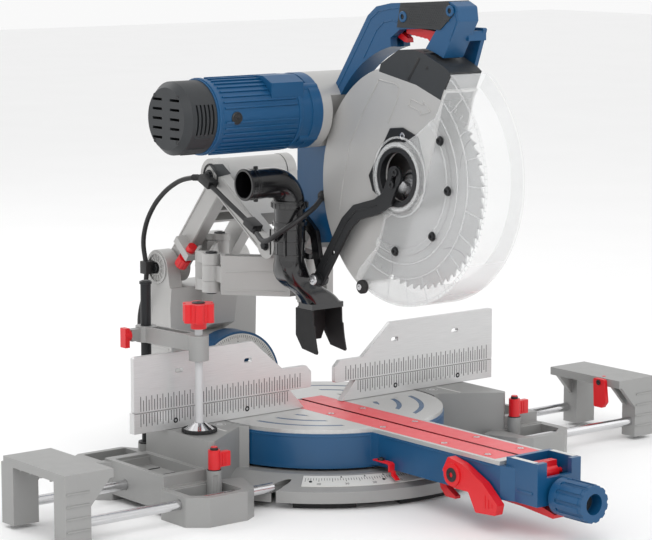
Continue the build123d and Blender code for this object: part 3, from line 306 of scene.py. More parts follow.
def rod(bm, a, b, r, r2=None, sides=24):
    a, b = Vector(a) * MM, Vector(b) * MM
    turn = (b - a).to_track_quat("Z", "Y").to_matrix().to_4x4()
    bmesh.ops.create_cone(bm, cap_ends=True, segments=sides, radius1=r * MM,
                          radius2=(r if r2 is None else r2) * MM, depth=(b - a).length,
                          matrix=Matrix.Translation((a + b) / 2) @ turn)


def box(bm, x0, x1, y0, y1, z0, z1, turn=None):
    size = Matrix.Diagonal(((x1 - x0) * MM, (y1 - y0) * MM, (z1 - z0) * MM, 1))
    middle = Matrix.Translation(Vector((x0 + x1, y0 + y1, z0 + z1)) / 2 * MM)
    matrix = middle @ size
    if turn is not None:
        matrix = turn @ matrix
    bmesh.ops.create_cube(bm, size=1, matrix=matrix)


def slab(bm, points, axis, low, high):
    """Polygon extruded along an axis; the points are the other two coordinates in order."""
    def place(p, value):
        full = list(p)
        full.insert(axis, value)
        return Vector(full) * MM

    rows = [[bm.verts.new(place(p, value)) for p in points] for value in (low, high)]
    bm.faces.new(rows[0])
    bm.faces.new(list(reversed(rows[1])))
    count = len(points)
    for i in range(count):
        j = (i + 1) % count
        bm.faces.new((rows[0][j], rows[0][i], rows[1][i], rows[1][j]))


def strip(bm, points, width, x0, x1, closed=False):
    """Raised bead that follows (y, z) points on a face across X."""
    pairs = list(zip(points, points[1:]))
    if closed:
        pairs.append((points[-1], points[0]))
    for (y0, z0), (y1, z1) in pairs:
        length = hypot(y1 - y0, z1 - z0)
        uy, uz = (y1 - y0) / length * width / 2, (z1 - z0) / length * width / 2
        slab(bm, [(y0 - uy - uz, z0 - uz + uy), (y1 + uy - uz, z1 + uz + uy),
                  (y1 + uy + uz, z1 + uz - uy), (y0 - uy + uz, z0 - uz - uy)], 0, x0, x1)


def lathe(bm, base, direction, profile, sides=24, hex_inner=0.0):
    """Solid of turned rings (radius, height); radii at or under hex_inner follow a hexagon."""
    spin = Vector(direction).to_track_quat("Z", "Y").to_matrix().to_4x4()
    matrix = Matrix.Translation(Vector(base) * MM) @ spin
    rows = []
    for radius, height in profile:
        row = []
        for i in range(sides):
            a = 2 * pi * i / sides
            r = radius
            if hex_inner and radius <= hex_inner:
                r *= cos(pi / 6) / cos(a % (pi / 3) - pi / 6)
            row.append(bm.verts.new(matrix @ (Vector((r * cos(a), r * sin(a), height)) * MM)))
        rows.append(row)
    for low, high in zip(rows, rows[1:]):
        for i in range(sides):
            j = (i + 1) % sides
            bm.faces.new((low[i], low[j], high[j], high[i]))
    bm.faces.new(list(reversed(rows[0])))
    bm.faces.new(rows[-1])


def socket_screw(bm, base, direction, r, height):
    """Cap screw with a hexagon socket."""
    inner, soft = r * 0.52, min(0.5, r * 0.12)
    lathe(bm, base, direction,
          [(r, 0), (r, height - soft), (r - soft, height), (inner, height),
           (inner, height * 0.35)], 24, inner)


def hex_bolt(bm, base, direction, r, height):
    """Hexagon head on its washer face."""
    lathe(bm, base, direction, [(r * 1.25, 0), (r * 1.25, height * 0.22)], 24)
    lathe(bm, base, direction, [(r, height * 0.2), (r, height * 0.9), (r * 0.88, height)], 6)


def ring_x(bm, centre, inner, outer, x0, x1, start=0.0, end=360.0, steps=48):
    """Ring or part of one about X, between two angles in degrees."""
    sector(bm, lambda a, r, v: (v, centre[0] + r * cos(a), centre[1] + r * sin(a)),
           inner, outer, x0, x1, start, end, steps)


def ring_z(bm, centre, inner, outer, z0, z1, start=0.0, end=360.0, steps=48):
    sector(bm, lambda a, r, v: (centre[0] + r * cos(a), centre[1] + r * sin(a), v),
           inner, outer, z0, z1, start, end, steps)


def ring_y(bm, centre, inner, outer, y0, y1, start=0.0, end=360.0, steps=48):
    sector(bm, lambda a, r, v: (centre[0] + r * cos(a), v, centre[1] + r * sin(a)),
           inner, outer, y0, y1, start, end, steps)


def sector(bm, place, inner, outer, low, high, start, end, steps):
    whole = abs(end - start) >= 359.9
    count = steps if whole else steps + 1
    rows = []
    for i in range(count):
        a = radians(start + (end - start) * i / steps)
        rows.append([bm.verts.new(Vector(place(a, r, v)) * MM)
                     for r, v in ((inner, low), (outer, low), (outer, high), (inner, high))])
    for i in range(count if whole else count - 1):
        a, b = rows[i], rows[(i + 1) % count]
        for k in range(4):
            n = (k + 1) % 4
            bm.faces.new((a[k], a[n], b[n], b[k]))
    if not whole:
        bm.faces.new(list(reversed(rows[0])))
        bm.faces.new(rows[-1])


def numeral(bm, text, size, matrix):
    """Adds a scale number as thin mesh; matrix takes it from the flat to its place."""
    curve = bpy.data.curves.new("numeral", "FONT")
    curve.body, curve.size = text, size * MM
    curve.align_x, curve.align_y = "CENTER", "CENTER"
    curve.extrude = 0.06 * MM
    holder = bpy.data.objects.new("numeral", curve)
    mesh = bpy.data.meshes.new_from_object(holder)
    mesh.transform(matrix)
    bm.from_mesh(mesh)
    bpy.data.objects.remove(holder)
    bpy.data.curves.remove(curve)
    bpy.data.meshes.remove(mesh)


def piece(name, body, finish, bm, soften=0.4):
    """Closes a bmesh: softened edges, smooth shading, material and body."""
    bmesh.ops.recalc_face_normals(bm, faces=bm.faces)
    if soften:
        sharp = [e for e in bm.edges if e.is_manifold and e.calc_face_angle(0) > radians(35)]
        bmesh.ops.bevel(bm, geom=sharp, offset=soften * MM, segments=2, profile=0.6,
                        affect="EDGES", clamp_overlap=True)
    mesh = bpy.data.meshes.new(name)
    bm.to_mesh(mesh)
    bm.free()
    for face in mesh.polygons:
        face.use_smooth = True
    mesh.set_sharp_from_angle(angle=radians(38))
    mesh.materials.append(MATERIALS[finish])
    made = bpy.data.objects.new(name, mesh)
    bpy.context.collection.objects.link(made)
    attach(made, body)
    return made


# ---------------------------------------------------------------- mains lead, coil and tie

lead.data.materials.append(MATERIALS["cable"])
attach(lead, "turntable")
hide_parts("mains_lead", "mains_coil")

bm = bmesh.new()
ring_y(bm, (0, 0), 12.2, 12.8, COIL_C[1] - 7, COIL_C[1] + 7, steps=40)
for vertex in bm.verts:
    # squared off, so that it wraps the stack of turns
    flat = vertex.co.xz.normalized()
    swell = (flat.x ** 4 + flat.y ** 4) ** -0.25
    vertex.co.x = vertex.co.x * swell + (COIL_C[0] + 46) * MM
    vertex.co.z = vertex.co.z * swell + 12.9 * MM
tie = piece("coil_tie", "turntable", "black_plastic", bm, 0.2)

bm = bmesh.new()
lathe(bm, (0, 372, TILT_Z), (0, 1, 0), [(9.5, 0), (9.0, 6), (7.6, 10), (7.2, 20), (5.6, 36),
                                        (4.6, 46)], 24)
for i in range(4):
    lathe(bm, (0, 383 + 7 * i, TILT_Z), (0, 1, 0), [(8.4 - i, 0), (8.4 - i, 3)], 24)
relief = piece("lead_relief", "turntable", "rubber", bm, 0.3)


# ---------------------------------------------------------------- fences and base

def fence_marks(side, name):
    """Rule marks above the seam on the sliding fence and below it on the fixed one."""
    upper, lower, screws = bmesh.new(), bmesh.new(), bmesh.new()
    for i in range(61):
        x = side * (46 + 5 * i)
        tall = i % 2 == 0
        box(upper, x - 0.55, x + 0.55, -0.12, 0.4, SEAM_Z + 2.4, SEAM_Z + (25 if tall else 19))
        if abs(x) > 70:
            box(lower, x - 0.55, x + 0.55, -0.12, 0.4, SEAM_Z - (21 if tall else 17),
                SEAM_Z - 1.6)
    box(lower, min(side * 68, side * 357), max(side * 68, side * 357), -0.08, 0.4,
        SEAM_Z - 0.9, SEAM_Z - 0.3)
    piece(name + "_slide_marks", name + "_sliding_fence", "ink", upper, 0)
    piece(name + "_fixed_marks", "base", "ink", lower, 0)
    for x in (149, 283):
        socket_screw(screws, (side * x, 0.6, 118), (0, -1, 0), 4.2, 1.2)
    piece(name + "_fence_screws", "base", "black_steel", screws, 0)


fence_marks(1, "right")
fence_marks(-1, "left")


def scale_place(angle, radius):
    """Matrix from a flat drawing to the sloping mitre scale; its Y points up the slope."""
    height = SCALE_Z - (radius - SCALE_R) * SCALE_SLOPE + SCALE_LIFT
    return (Matrix.Rotation(radians(angle), 4, "Z")
            @ Matrix.Translation(Vector((0, -radius, height)) * MM)
            @ Matrix.Rotation(atan2(SCALE_SLOPE, 1), 4, "X"))


def mitre_ring():
    """Degree marks and numbers on the front scale plate, zero at the middle."""
    marks = bmesh.new()
    for i in range(-45, 46):
        half = 4.6 if i % 5 == 0 else 2.9
        box(marks, -0.34, 0.34, -half, half, -0.15, 0.1, scale_place(i, 228.0 + half))
        if i % 10 == 0:
            numeral(marks, str(abs(i)), 6.6, scale_place(i, 242.6))
    for place in (15, 22.5, 31.6):
        for sign in (-1, 1):
            first = len(marks.verts)
            slab(marks, [(-1.7, -2.2), (1.7, -2.2), (0, 2.2)], 2, -0.15, 0.1)
            marks.verts.ensure_lookup_table()
            bmesh.ops.transform(marks, matrix=scale_place(sign * place, 224.6),
                                verts=marks.verts[first:])
    piece("mitre_marks", "base", "ink", marks, 0)
    rivets = bmesh.new()
    for angle in (-43, -16, 16, 43):
        at = scale_place(angle, 237)
        lathe(rivets, at.translation / MM, at.to_3x3() @ Vector((0, 0, 1)),
              [(2.5, -0.3), (2.5, 0.3), (1.6, 0.8)], 16)
    piece("scale_rivets", "base", "black_steel", rivets, 0)


mitre_ring()


def bevel_ring():
    """Tilt scale on the front of the rear drum with its two red end marks."""
    plate, marks, pointers = bmesh.new(), bmesh.new(), bmesh.new()
    centre = (0, TILT_Z)
    ring_y(plate, centre, 63, 82, 225.2, 226.2, 12, 168, 60)
    for i in range(-48, 49, 2):
        length = 7 if i % 10 == 0 else 4.5
        turn = (Matrix.Translation(Vector((0, 0, TILT_Z)) * MM)
                @ Matrix.Rotation(radians(i * BEVEL_SPREAD), 4, "Y"))
        box(marks, -0.3, 0.3, 224.95, 225.5, 80 - length, 80, turn)
        if i % 10 == 0 and abs(i) in (0, 10, 20, 30, 40):
            away = (turn @ Matrix.Translation(Vector((0, 225.1, 68)) * MM)
                    @ Matrix.Rotation(radians(90), 4, "X"))
            numeral(marks, str(abs(i)), 6.0, away)
    for start in (4, 166):
        ring_y(pointers, centre, 66, 85, 224.6, 226.2, start, start + 10, 8)
    piece("bevel_scale", "turntable", "scale_plate", plate, 0.2)
    piece("bevel_marks", "turntable", "ink", marks, 0)
    piece("bevel_end_marks", "turntable", "red_plastic", pointers, 0.3)


bevel_ring()


def base_details():
    """Washers, studs and lines on the base, its front pads and the rail locks' trim."""
    washers, studs, feet, lines = (bmesh.new() for _ in range(4))
    for side in (-1, 1):
        x = side * 299
        lathe(washers, (x, -120, 65.6), (0, 0, 1), [(10.4, 0), (10.4, 1.2), (9.4, 1.8)], 28)
        for px, py in ((side * 213, -16), (side * 305, 20)):
            ring_z(studs, (px, py), 8.6, 9.4, TABLE_Z - 0.3, TABLE_Z + 0.12)
            socket_screw(studs, (px, py, TABLE_Z - 0.2), (0, 0, 1), 5.2, 0.5)
        box(lines, min(side * 232, side * 236), max(side * 232, side * 236), -62, -2,
            TABLE_Z - 0.2, TABLE_Z + 0.1)
        for ox, oy in ((305, -132), (330, 96)):
            z = 12 if oy < 0 else 26
            ring_z(washers, (side * ox, oy), 4.9, 9.0, z - 0.2, z + 0.8)
        for oy in (-70, -30, 10):
            box(feet, min(side * 306, side * 362), max(side * 306, side * 362), oy - 1.2,
                oy + 1.2, 45.6, 47.2)
    for angle in (-128, -90, -52):
        ring_z(feet, (0, 0), 222, 250, 0.4, 12, angle - 11, angle + 11, 14)
    piece("bench_washers", "base", "black_steel", washers, 0.2)
    piece("platform_studs", "base", "fence_alloy", studs, 0)
    piece("platform_lines", "base", "scale_plate", lines, 0)
    piece("front_pads", "base", "rubber", feet, 0.8)
    for side, name in ((1, "right"), (-1, "left")):
        cap = bmesh.new()
        lathe(cap, (side * 299, -120, 95.4), (0, 0, 1),
              [(5.8, 0), (5.8, 3.6), (5.0, 4.6), (2.6, 4.6), (2.6, 2.6)], 24, 2.6)
        piece(name + "_rail_lock_cap", name + "_rail_lock", "black_plastic", cap, 0)
        grip = bmesh.new()
        for k in range(3):
            x = side * 299 + 7 + 5 * k
            box(grip, x - 0.9, x + 0.9, -125.9, -124.6, 72, 90)
        piece(name + "_rail_lock_ribs", name + "_rail_lock", "red_plastic", grip, 0.3)


base_details()


def supports():
    """Outer ribs, rod ends, pad lines and the rear stop knob of each pull-out support."""
    for side, name in ((1, "right"), (-1, "left")):
        ribs, ends = bmesh.new(), bmesh.new()
        for z in (24, 42, 60, 78):
            box(ribs, min(side * 540, side * 578), max(side * 540, side * 578), -159.4, -157.6,
                z - 1.3, z + 1.3)
        for y in (-118, -92, -66, -40):
            box(ribs, min(side * 572, side * 579.8), max(side * 572, side * 579.8), y - 1.3,
                y + 1.3, 90, 94)
        for y in (-145, 5):
            lathe(ends, (side * 579.2, y, 31), (side, 0, 0),
                  [(6.6, -0.6), (6.6, 0.1), (6.0, 0.6), (3.0, 0.6), (3.0, -0.4)], 24, 3.0)
        piece(name + "_support_ribs", name + "_support", "base_alloy", ribs, 0.4)
        piece(name + "_rod_screws", name + "_support", "black_steel", ends, 0)
    knob = bmesh.new()
    lathe(knob, (560, 12, 84), (0, 1, 0), [(8, 0), (8, 6), (13, 9), (13, 20), (11, 23)], 10)
    piece("support_stop_knob", "right_support", "blue_plastic", knob, 0.8)
    dot = bmesh.new()
    lathe(dot, (512, -110, TABLE_Z - 0.2), (0, 0, 1), [(3.4, 0), (3.4, 0.5), (2.6, 0.8)], 18)
    piece("support_mark", "right_support", "red_plastic", dot, 0)
    hinge = bmesh.new()
    socket_screw(hinge, (493.0, -117, 98), (-1, 0, 0), 4.6, 2.2)
    piece("flip_stop_screw", "flip_stop", "black_steel", hinge, 0)


supports()


# ---------------------------------------------------------------- turntable

def turntable_details():
    """Insert screws, mitre pointer, painted grooves, tiller rails and the detent hook."""
    wells, heads, tip, screw = (bmesh.new() for _ in range(4))
    for y in (-60, -185, -325, -420):
        for x in (-32, 32):
            ring_z(wells, (x, y), 5.2, 8.0, TABLE_Z - 0.2, TABLE_Z + 0.15, steps=28)
            socket_screw(heads, (x, y, TABLE_Z - 0.3), (0, 0, 1), 5.0, 0.8)
    piece("insert_wells", "turntable", "red_plastic", wells, 0)
    piece("insert_screws", "turntable", "steel", heads, 0)
    slab(tip, [(-200, 60.6), (-200, 63), (-234, 63), (-238, 60.5), (-238, 49), (-235.6, 49),
               (-235.6, 59), (-233, 60.6)], 0, -64, -53)
    slab(tip, [(-235.6, 50), (-238, 50), (-239, 45), (-249, 38), (-247, 37.4), (-236.4, 43)],
         0, -59, -51)
    piece("mitre_pointer", "turntable", "red_plastic", tip, 0.5)
    lathe(screw, (-58.5, -213, 62.8), (0, 0, 1), [(5.2, 0), (5.2, 1.6), (4.4, 3.4), (2.4, 4.2),
                                                 (2.4, 3.0)], 24, 2.4)
    piece("pointer_screw", "turntable", "black_plastic", screw, 0)
    inlays = bmesh.new()
    for r in (85, 120, 155):
        for low, high, across, along in ((-1, 1, 71, 37), (1, 1, 71, 37), (-1, -1, 71, -31),
                                         (1, -1, 71, -31)):
            near = degrees(atan2(abs(along) + 0.6, (r * r - along * along) ** 0.5))
            far = degrees(atan2((r * r - across * across) ** 0.5, across))
            if far - near < 3:
                continue
            ends = [a if low > 0 else 180 - a for a in (near, far)]
            ends = [a * high for a in ends]
            ring_z(inlays, (0, 0), r - 3.9, r + 3.9, 102.4, 104.75, min(ends), max(ends), 24)
    piece("groove_paint", "turntable", "blue_alloy", inlays, 0)
    rails, bead = bmesh.new(), bmesh.new()
    for side in (-1, 1):
        box(rails, min(side * 33.4, side * 41.6), max(side * 33.4, side * 41.6), -526, -479,
            111.4, 112.5)
        box(bead, min(side * 50, side * 51), max(side * 50, side * 51), -450, -210, 95.2, 97.4)
        box(bead, min(side * 42, side * 43), max(side * 42, side * 43), -524, -492, 66, 70)
    piece("tiller_rails", "turntable", "scale_plate", rails, 0.3)
    piece("arm_beads", "turntable", "blue_alloy", bead, 0.4)
    drop = bmesh.new()
    slab(drop, [(-314, 56), (-322, 57), (-334, 40), (-352, 30), (-352, 26), (-330, 26),
                (-318, 38)], 0, -33, -23)
    piece("detent_hook", "turntable", "red_plastic", drop, 0.6)
    rim = bmesh.new()
    ring_z(rim, (0, 0), 189.2, 190.7, 93.5, 96.5, 0, 360, 96)
    piece("table_rim_bead", "turntable", "blue_alloy", rim, 0.5)


turntable_details()


def lever_details():
    hub, grooves = bmesh.new(), bmesh.new()
    lathe(hub, (-68, -382, 73), (-1, 0, 0), [(10.5, -0.4), (10.5, 0.6), (8.6, 1.4), (4.2, 1.4),
                                             (4.2, -0.3)], 30, 4.2)
    piece("bevel_lever_screw", "bevel_lever", "black_plastic", hub, 0)
    for k in range(3):
        y = -452 - 7 * k
        box(grooves, -66.8, -65.6, y - 1.0, y + 1.0, 36 + 1.5 * k, 56 - 5 * k)
    piece("bevel_lever_ribs", "bevel_lever", "red_plastic", grooves, 0.3)
    knob = bmesh.new()
    for i in range(12):
        turn = (Matrix.Translation(Vector((0, 0, 62)) * MM)
                @ Matrix.Rotation(2 * pi * (i + 0.5) / 12, 4, "Y"))
        box(knob, -4.2, 4.2, -598, -556, 26.2, 27.6, turn)
    piece("mitre_knob_ribs", "mitre_lock_knob", "blue_plastic", knob, 0.6)
    cap = bmesh.new()
    lathe(cap, (0, -585.2, 62), (0, -1, 0), [(12, 0), (12, 2), (10.5, 3), (4, 3), (4, 1)], 30)
    piece("mitre_knob_cap", "mitre_lock_knob", "anthracite", cap, 0)
    marks = bmesh.new()
    for k in range(-2, 3):
        box(marks, 6 * k - 0.6, 6 * k + 0.6, -505, -499, 105.4, 106.0)
    piece("selector_ribs", "bevel_selector", "scale_plate", marks, 0)


lever_details()


def clamp_details():
    ring, cap, lobes = bmesh.new(), bmesh.new(), bmesh.new()
    sx, sy = SPINDLE
    ring_z(ring, (sx, sy), 23.4, 25.9, TABLE_Z + 0.6, TABLE_Z + 6, steps=40)
    for i in range(24):
        a = 2 * pi * i / 24
        box(ring, -1.2, 1.2, 25.2, 26.8, TABLE_Z + 1, TABLE_Z + 5.4,
            Matrix.Translation(Vector((sx, sy, 0)) * MM) @ Matrix.Rotation(a, 4, "Z"))
    piece("clamp_pad_ring", "clamp_pad", "rubber", ring, 0.3)
    lathe(cap, (sx, sy, 299.6), (0, 0, 1), [(10, 0), (10, 1.4), (8.6, 2.2), (3.2, 2.2),
                                            (3.2, 0.6)], 30, 3.2)
    piece("clamp_knob_cap", "clamp_screw", "black_plastic", cap, 0)
    lathe(lobes, (sx, sy, 214.2), (0, 0, -1), [(10.5, 0), (10.5, 1), (8.2, 2)], 30)
    piece("clamp_nut", "clamp_arm", "chrome", lobes, 0)
    post = bmesh.new()
    lathe(post, (-282, 78, 319.6), (0, 0, 1), [(7.4, 0), (7.4, 0.8), (6.0, 1.8)], 30)
    ring_z(post, (-282, 78), 8.6, 13.5, 69.8, 72.6, steps=36)
    piece("clamp_post_collar", "base", "black_plastic", post, 0.2)


clamp_details()


# ---------------------------------------------------------------- upright and link arms

def pin_details():
    """Rings, ribs and bolts on the link pins, and the chop pin's end screws."""
    rings, bolts, knee, head = (bmesh.new() for _ in range(4))
    for side in (-1, 1):
        x = side * 85
        ring_x(rings, LINK_ROOT, 22.5, 26.5, min(x, x + side * 2.4), max(x, x + side * 2.4))
        ring_x(rings, LINK_ROOT, 9.5, 12.5, min(x, x + side * 2.4), max(x, x + side * 2.4))
        for i in range(14):
            a = 2 * pi * i / 14
            strip(rings, [(LINK_ROOT[0] + 12 * cos(a), LINK_ROOT[1] + 12 * sin(a)),
                          (LINK_ROOT[0] + 23 * cos(a), LINK_ROOT[1] + 23 * sin(a))], 1.8,
                  min(x, x + side * 1.6), max(x, x + side * 1.6))
        hex_bolt(bolts, (side * 84.8, *LINK_ROOT), (side, 0, 0), 7.6, 6.5)
        hex_bolt(knee, (side * 78.8, *LINK_KNEE), (side, 0, 0), 8.4, 6.0)
        ring_x(knee, LINK_KNEE, 17, 20, min(side * 75.8, side * 77.4),
               max(side * 75.8, side * 77.4))
        hex_bolt(head, (side * 76.8, *LINK_HEAD), (side, 0, 0), 6.6, 5.5)
    piece("root_rings", "upright", "cast_alloy", rings, 0.4)
    piece("root_bolts", "upright", "black_steel", bolts, 0.3)
    piece("knee_bolts", "upper_link_arm", "black_steel", knee, 0.3)
    piece("head_pin_bolts", "head_bracket", "black_steel", head, 0.3)
    chop = bmesh.new()
    for side in (-1, 1):
        socket_screw(chop, (side * 40.8, 12, 384), (side, 0, 0), 7.6, 2.2)
    piece("chop_pin_screws", "head_bracket", "black_steel", chop, 0)
    patch = bmesh.new()
    slab(patch, [(196, 474), (160, 478), (138, 464), (172, 456)], 0, -77.0, -75.6)
    piece("link_badge", "upper_link_arm", "anthracite", patch, 0.5)


pin_details()


def arm_edges():
    """Raised rims along both edges of each link beam, as the castings have."""
    for name, a, b, half, xs, body, trim in (
            ("upper_link_rims", LINK_KNEE, LINK_HEAD, 14.5, (76, 77.4), "upper_link_arm", 27),
            ("lower_link_rims", LINK_ROOT, LINK_KNEE, 15.5, (57, 58.1), "lower_link_arm", 33)):
        length = hypot(b[0] - a[0], b[1] - a[1])
        u = ((b[0] - a[0]) / length, (b[1] - a[1]) / length)
        bm = bmesh.new()
        for side in (-1, 1):
            for edge in (-1, 1):
                start, end = [(a[0] + u[0] * s - u[1] * half * edge,
                               a[1] + u[1] * s + u[0] * half * edge)
                              for s in (trim, length - trim + 6)]
                strip(bm, [start, end], 2.4, min(side * xs[0], side * xs[1]),
                      max(side * xs[0], side * xs[1]))
        piece(name, body, "cast_alloy", bm, 0.4)


arm_edges()


def glide_details():
    caps, front = bmesh.new(), bmesh.new()
    for z, up in ((337.9, 1), (276.1, -1)):
        lathe(caps, (*GLIDE_ELBOW, z), (0, 0, up), [(9.5, 0), (9.5, 1.8), (8.4, 2.8), (3.8, 2.8),
                                             (3.8, 0.8)], 28, 3.8)
    piece("elbow_pin_caps", "rear_glide_arm", "black_steel", caps, 0)
    socket_screw(front, (0, 40, 264.2), (0, 0, -1), 9.0, 2.6)
    piece("front_pin_cap", "head_bracket", "black_steel", front, 0)
    rear = bmesh.new()
    socket_screw(rear, (0, 274, 348.8), (0, 0, 1), 9.0, 2.6)
    piece("rear_pin_cap", "upright", "black_steel", rear, 0)
    for name, body, start, end in (
            ("rear_arm_rims", "rear_glide_arm", GLIDE_REAR, GLIDE_ELBOW),
            ("front_arm_rims", "front_glide_arm", GLIDE_ELBOW, GLIDE_FRONT)):
        bm = bmesh.new()
        length = hypot(end[0] - start[0], end[1] - start[1])
        ux, uy = (end[0] - start[0]) / length, (end[1] - start[1]) / length
        nx, ny = uy, -ux
        for z in ((282, 284.5), (312, 314.5)):
            corners = [(start[0] + ux * s + nx * t, start[1] + uy * s + ny * t)
                       for s, t in ((30, 27.6), (length - 30, 27.6), (length - 30, 29.2),
                                    (30, 29.2))]
            slab(bm, corners, 2, *z)
        piece(name, body, "cast_alloy", bm, 0.4)


glide_details()


def cable_clips():
    root, knee, head = bmesh.new(), bmesh.new(), bmesh.new()
    box(root, -105, -85, 336, 354, 282, 303)
    piece("root_cable_clip", "upright", "black_plastic", root, 1.2)
    strip(knee, [(190, 452), (176, 446)], 13, -97.5, -79)
    piece("knee_cable_clip", "upper_link_arm", "black_plastic", knee, 1.0)
    strip(head, [(74, 394), (62, 388)], 12, -95.5, -76)
    piece("arm_cable_clip", "upper_link_arm", "black_plastic", head, 1.0)
    # ribbed boots close the gaps between the held stretches at the link pins
    for name, body, start, end in (
            ("knee_boot_upper", "upper_link_arm", (-91, 196, 453), (-91.7, 210, 453.3)),
            ("knee_boot_lower", "lower_link_arm", (-92.2, 219, 452.3), (-91.6, 206, 453.3)),
            ("head_boot", "upper_link_arm", (-89, 65, 387.5), (-91.4, 52.5, 381.2))):
        boot = bmesh.new()
        way = Vector(end) - Vector(start)
        rings = [(5.3 if k % 2 else 4.5, way.length * k / 8) for k in range(9)]
        lathe(boot, start, way, rings, 24)
        piece(name, body, "rubber", boot, 0)
    gland = bmesh.new()
    lathe(gland, (-21.5, -27, 441.2), (-1, -0.85, -0.3), [(8.0, 0), (8.0, 4), (6.4, 6),
                                                        (6.0, 10), (5.0, 16)], 24)
    piece("neck_cable_gland", "head_bracket", "rubber", gland, 0)


cable_clips()


def upright_details():
    ribs, plugs = bmesh.new(), bmesh.new()
    for side in (-1, 1):
        for z in (120, 160, 200):
            box(ribs, min(side * 84, side * 87.5), max(side * 84, side * 87.5), 300, 366,
                z - 1.6, z + 1.6)
        lathe(plugs, (side * 85.5, 334, 96), (side, 0, 0), [(11, 0), (11, 2), (9, 3.2)], 28)
    piece("column_ribs", "upright", "cast_alloy", ribs, 0.6)
    piece("column_plugs", "upright", "black_plastic", plugs, 0)


upright_details()


# ---------------------------------------------------------------- guards and blade

def polar(centre, radius, angle):
    a = radians(angle)
    return (centre[0] + radius * cos(a), centre[1] + radius * sin(a))


def lower_guard_details():
    screws, webs, roller, axle = (bmesh.new() for _ in range(4))
    for angle in (147, 185.5, 226, 273):
        y, z = polar(GUARD_P, 111, angle)
        lathe(screws, (-38.3, y, z), (-1, 0, 0), [(7.2, 0), (7.2, 0.7), (5.6, 0.8), (5.6, 3.4),
                                                  (4.9, 4.1), (2.7, 4.1), (2.7, 1.6)], 24, 2.7)
    piece("guard_ring_screws", "lower_guard", "black_steel", screws, 0)
    for start, end, radius in ((130, 297, 128), (130, 297, 150), (127, 294, 186)):
        ring_x(webs, GUARD_P, radius, radius + 1.6, -37.2, -35.8, start, end, 60)
    for k in range(11):
        angle = 138 + 14 * k
        strip(webs, [polar(GUARD_P, 151, angle), polar(GUARD_P, 186, angle)], 1.3, -37.0, -35.8)
    for k in range(58):
        angle = 132 + 2.75 * k
        strip(webs, [polar(GUARD_P, 188.2, angle), polar(GUARD_P, 191.6, angle)], 1.0, -36.7,
              -35.8)
    piece("guard_wall_ribs", "lower_guard", "clear_guard", webs, 0)
    hub = bmesh.new()
    ring_x(hub, GUARD_P, 46, 50.5, -42.2, -40.8)
    ring_x(hub, GUARD_P, 57, 60, -37.6, -35.8)
    piece("guard_hub_ring", "lower_guard", "clear_guard", hub, 0.3)
    lathe(roller, (-38.6, -150, 316), (-1, 0, 0), [(8.5, 0), (10.5, 2), (10.5, 8), (8.5, 10)],
          28)
    piece("guard_roller", "lower_guard", "rubber", roller, 0.3)
    socket_screw(axle, (-48.4, -150, 316), (-1, 0, 0), 5.0, 2.4)
    rod(axle, (-35.8, -150, 316), (-38.8, -150, 316), 4.6)
    piece("guard_roller_screw", "lower_guard", "steel", axle, 0)


lower_guard_details()


def upper_guard_details():
    bead = bmesh.new()
    arrow = [(-245, 604), (-272, 597), (-273, 602), (-288, 588), (-266, 582), (-267, 587),
             (-240, 594)]
    strip(bead, arrow, 1.6, -31.9, -30.6, True)
    panel = [(-104, 528), (-132, 573), (-172, 628), (-210, 624), (-217, 619), (-216, 606),
             (-194, 566)]
    strip(bead, panel, 1.8, -31.9, -30.6)
    strip(bead, [(-79, 425), (-88, 470), (-104, 528)], 1.8, -31.9, -30.6)
    piece("guard_beads", "head", "cast_alloy", bead, 0.3)
    # painted shade: a black strip and dot where the guard has a groove and a small recess
    groove = bmesh.new()
    strip(groove, [(-262, 663), (-240, 633)], 4.6, -31.6, -30.6)
    lathe(groove, (-30.8, -280, 651), (-1, 0, 0), [(2.6, 0), (2.6, 0.7)], 18)
    piece("cover_groove_shade", "head", "black_plastic", groove, 0.3)
    screw = bmesh.new()
    socket_screw(screw, (-32.6, -228, 548), (-1, 0, 0), 5.6, 0.8)
    socket_screw(screw, (-32.6, -262, 462), (-1, 0, 0), 5.6, 0.8)
    piece("arbor_plate_screws", "head", "steel", screw, 0)
    case = bmesh.new()
    ux, uz = MOTOR_C[0] - BLADE_C[0], MOTOR_C[1] - BLADE_C[1]
    tilt = degrees(atan2(uz, ux))
    for centre, r, angles in ((BLADE_C, 38.5, (110, 180, 250)), (MOTOR_C, 42.5, (-60, 0, 60))):
        for angle in angles:
            y, z = polar(centre, r, angle + tilt)
            socket_screw(case, (71.6, y, z), (1, 0, 0), 3.6, 2.6)
    piece("belt_case_screws", "head", "black_steel", case, 0)
    ridge = bmesh.new()
    for centre, r in ((BLADE_C, 30), (MOTOR_C, 34)):
        ring_x(ridge, centre, r - 2, r, 71.4, 73.2)
    a, b = polar(BLADE_C, 32, tilt), polar(MOTOR_C, 36, tilt + 180)
    for lift in (-14, 0, 14):
        shift = (-sin(radians(tilt)) * lift, cos(radians(tilt)) * lift)
        strip(ridge, [(a[0] + shift[0], a[1] + shift[1]), (b[0] + shift[0], b[1] + shift[1])],
              2.6, 71.4, 73.0)
    piece("belt_case_ribs", "head", "cast_alloy", ridge, 0.5)


upper_guard_details()


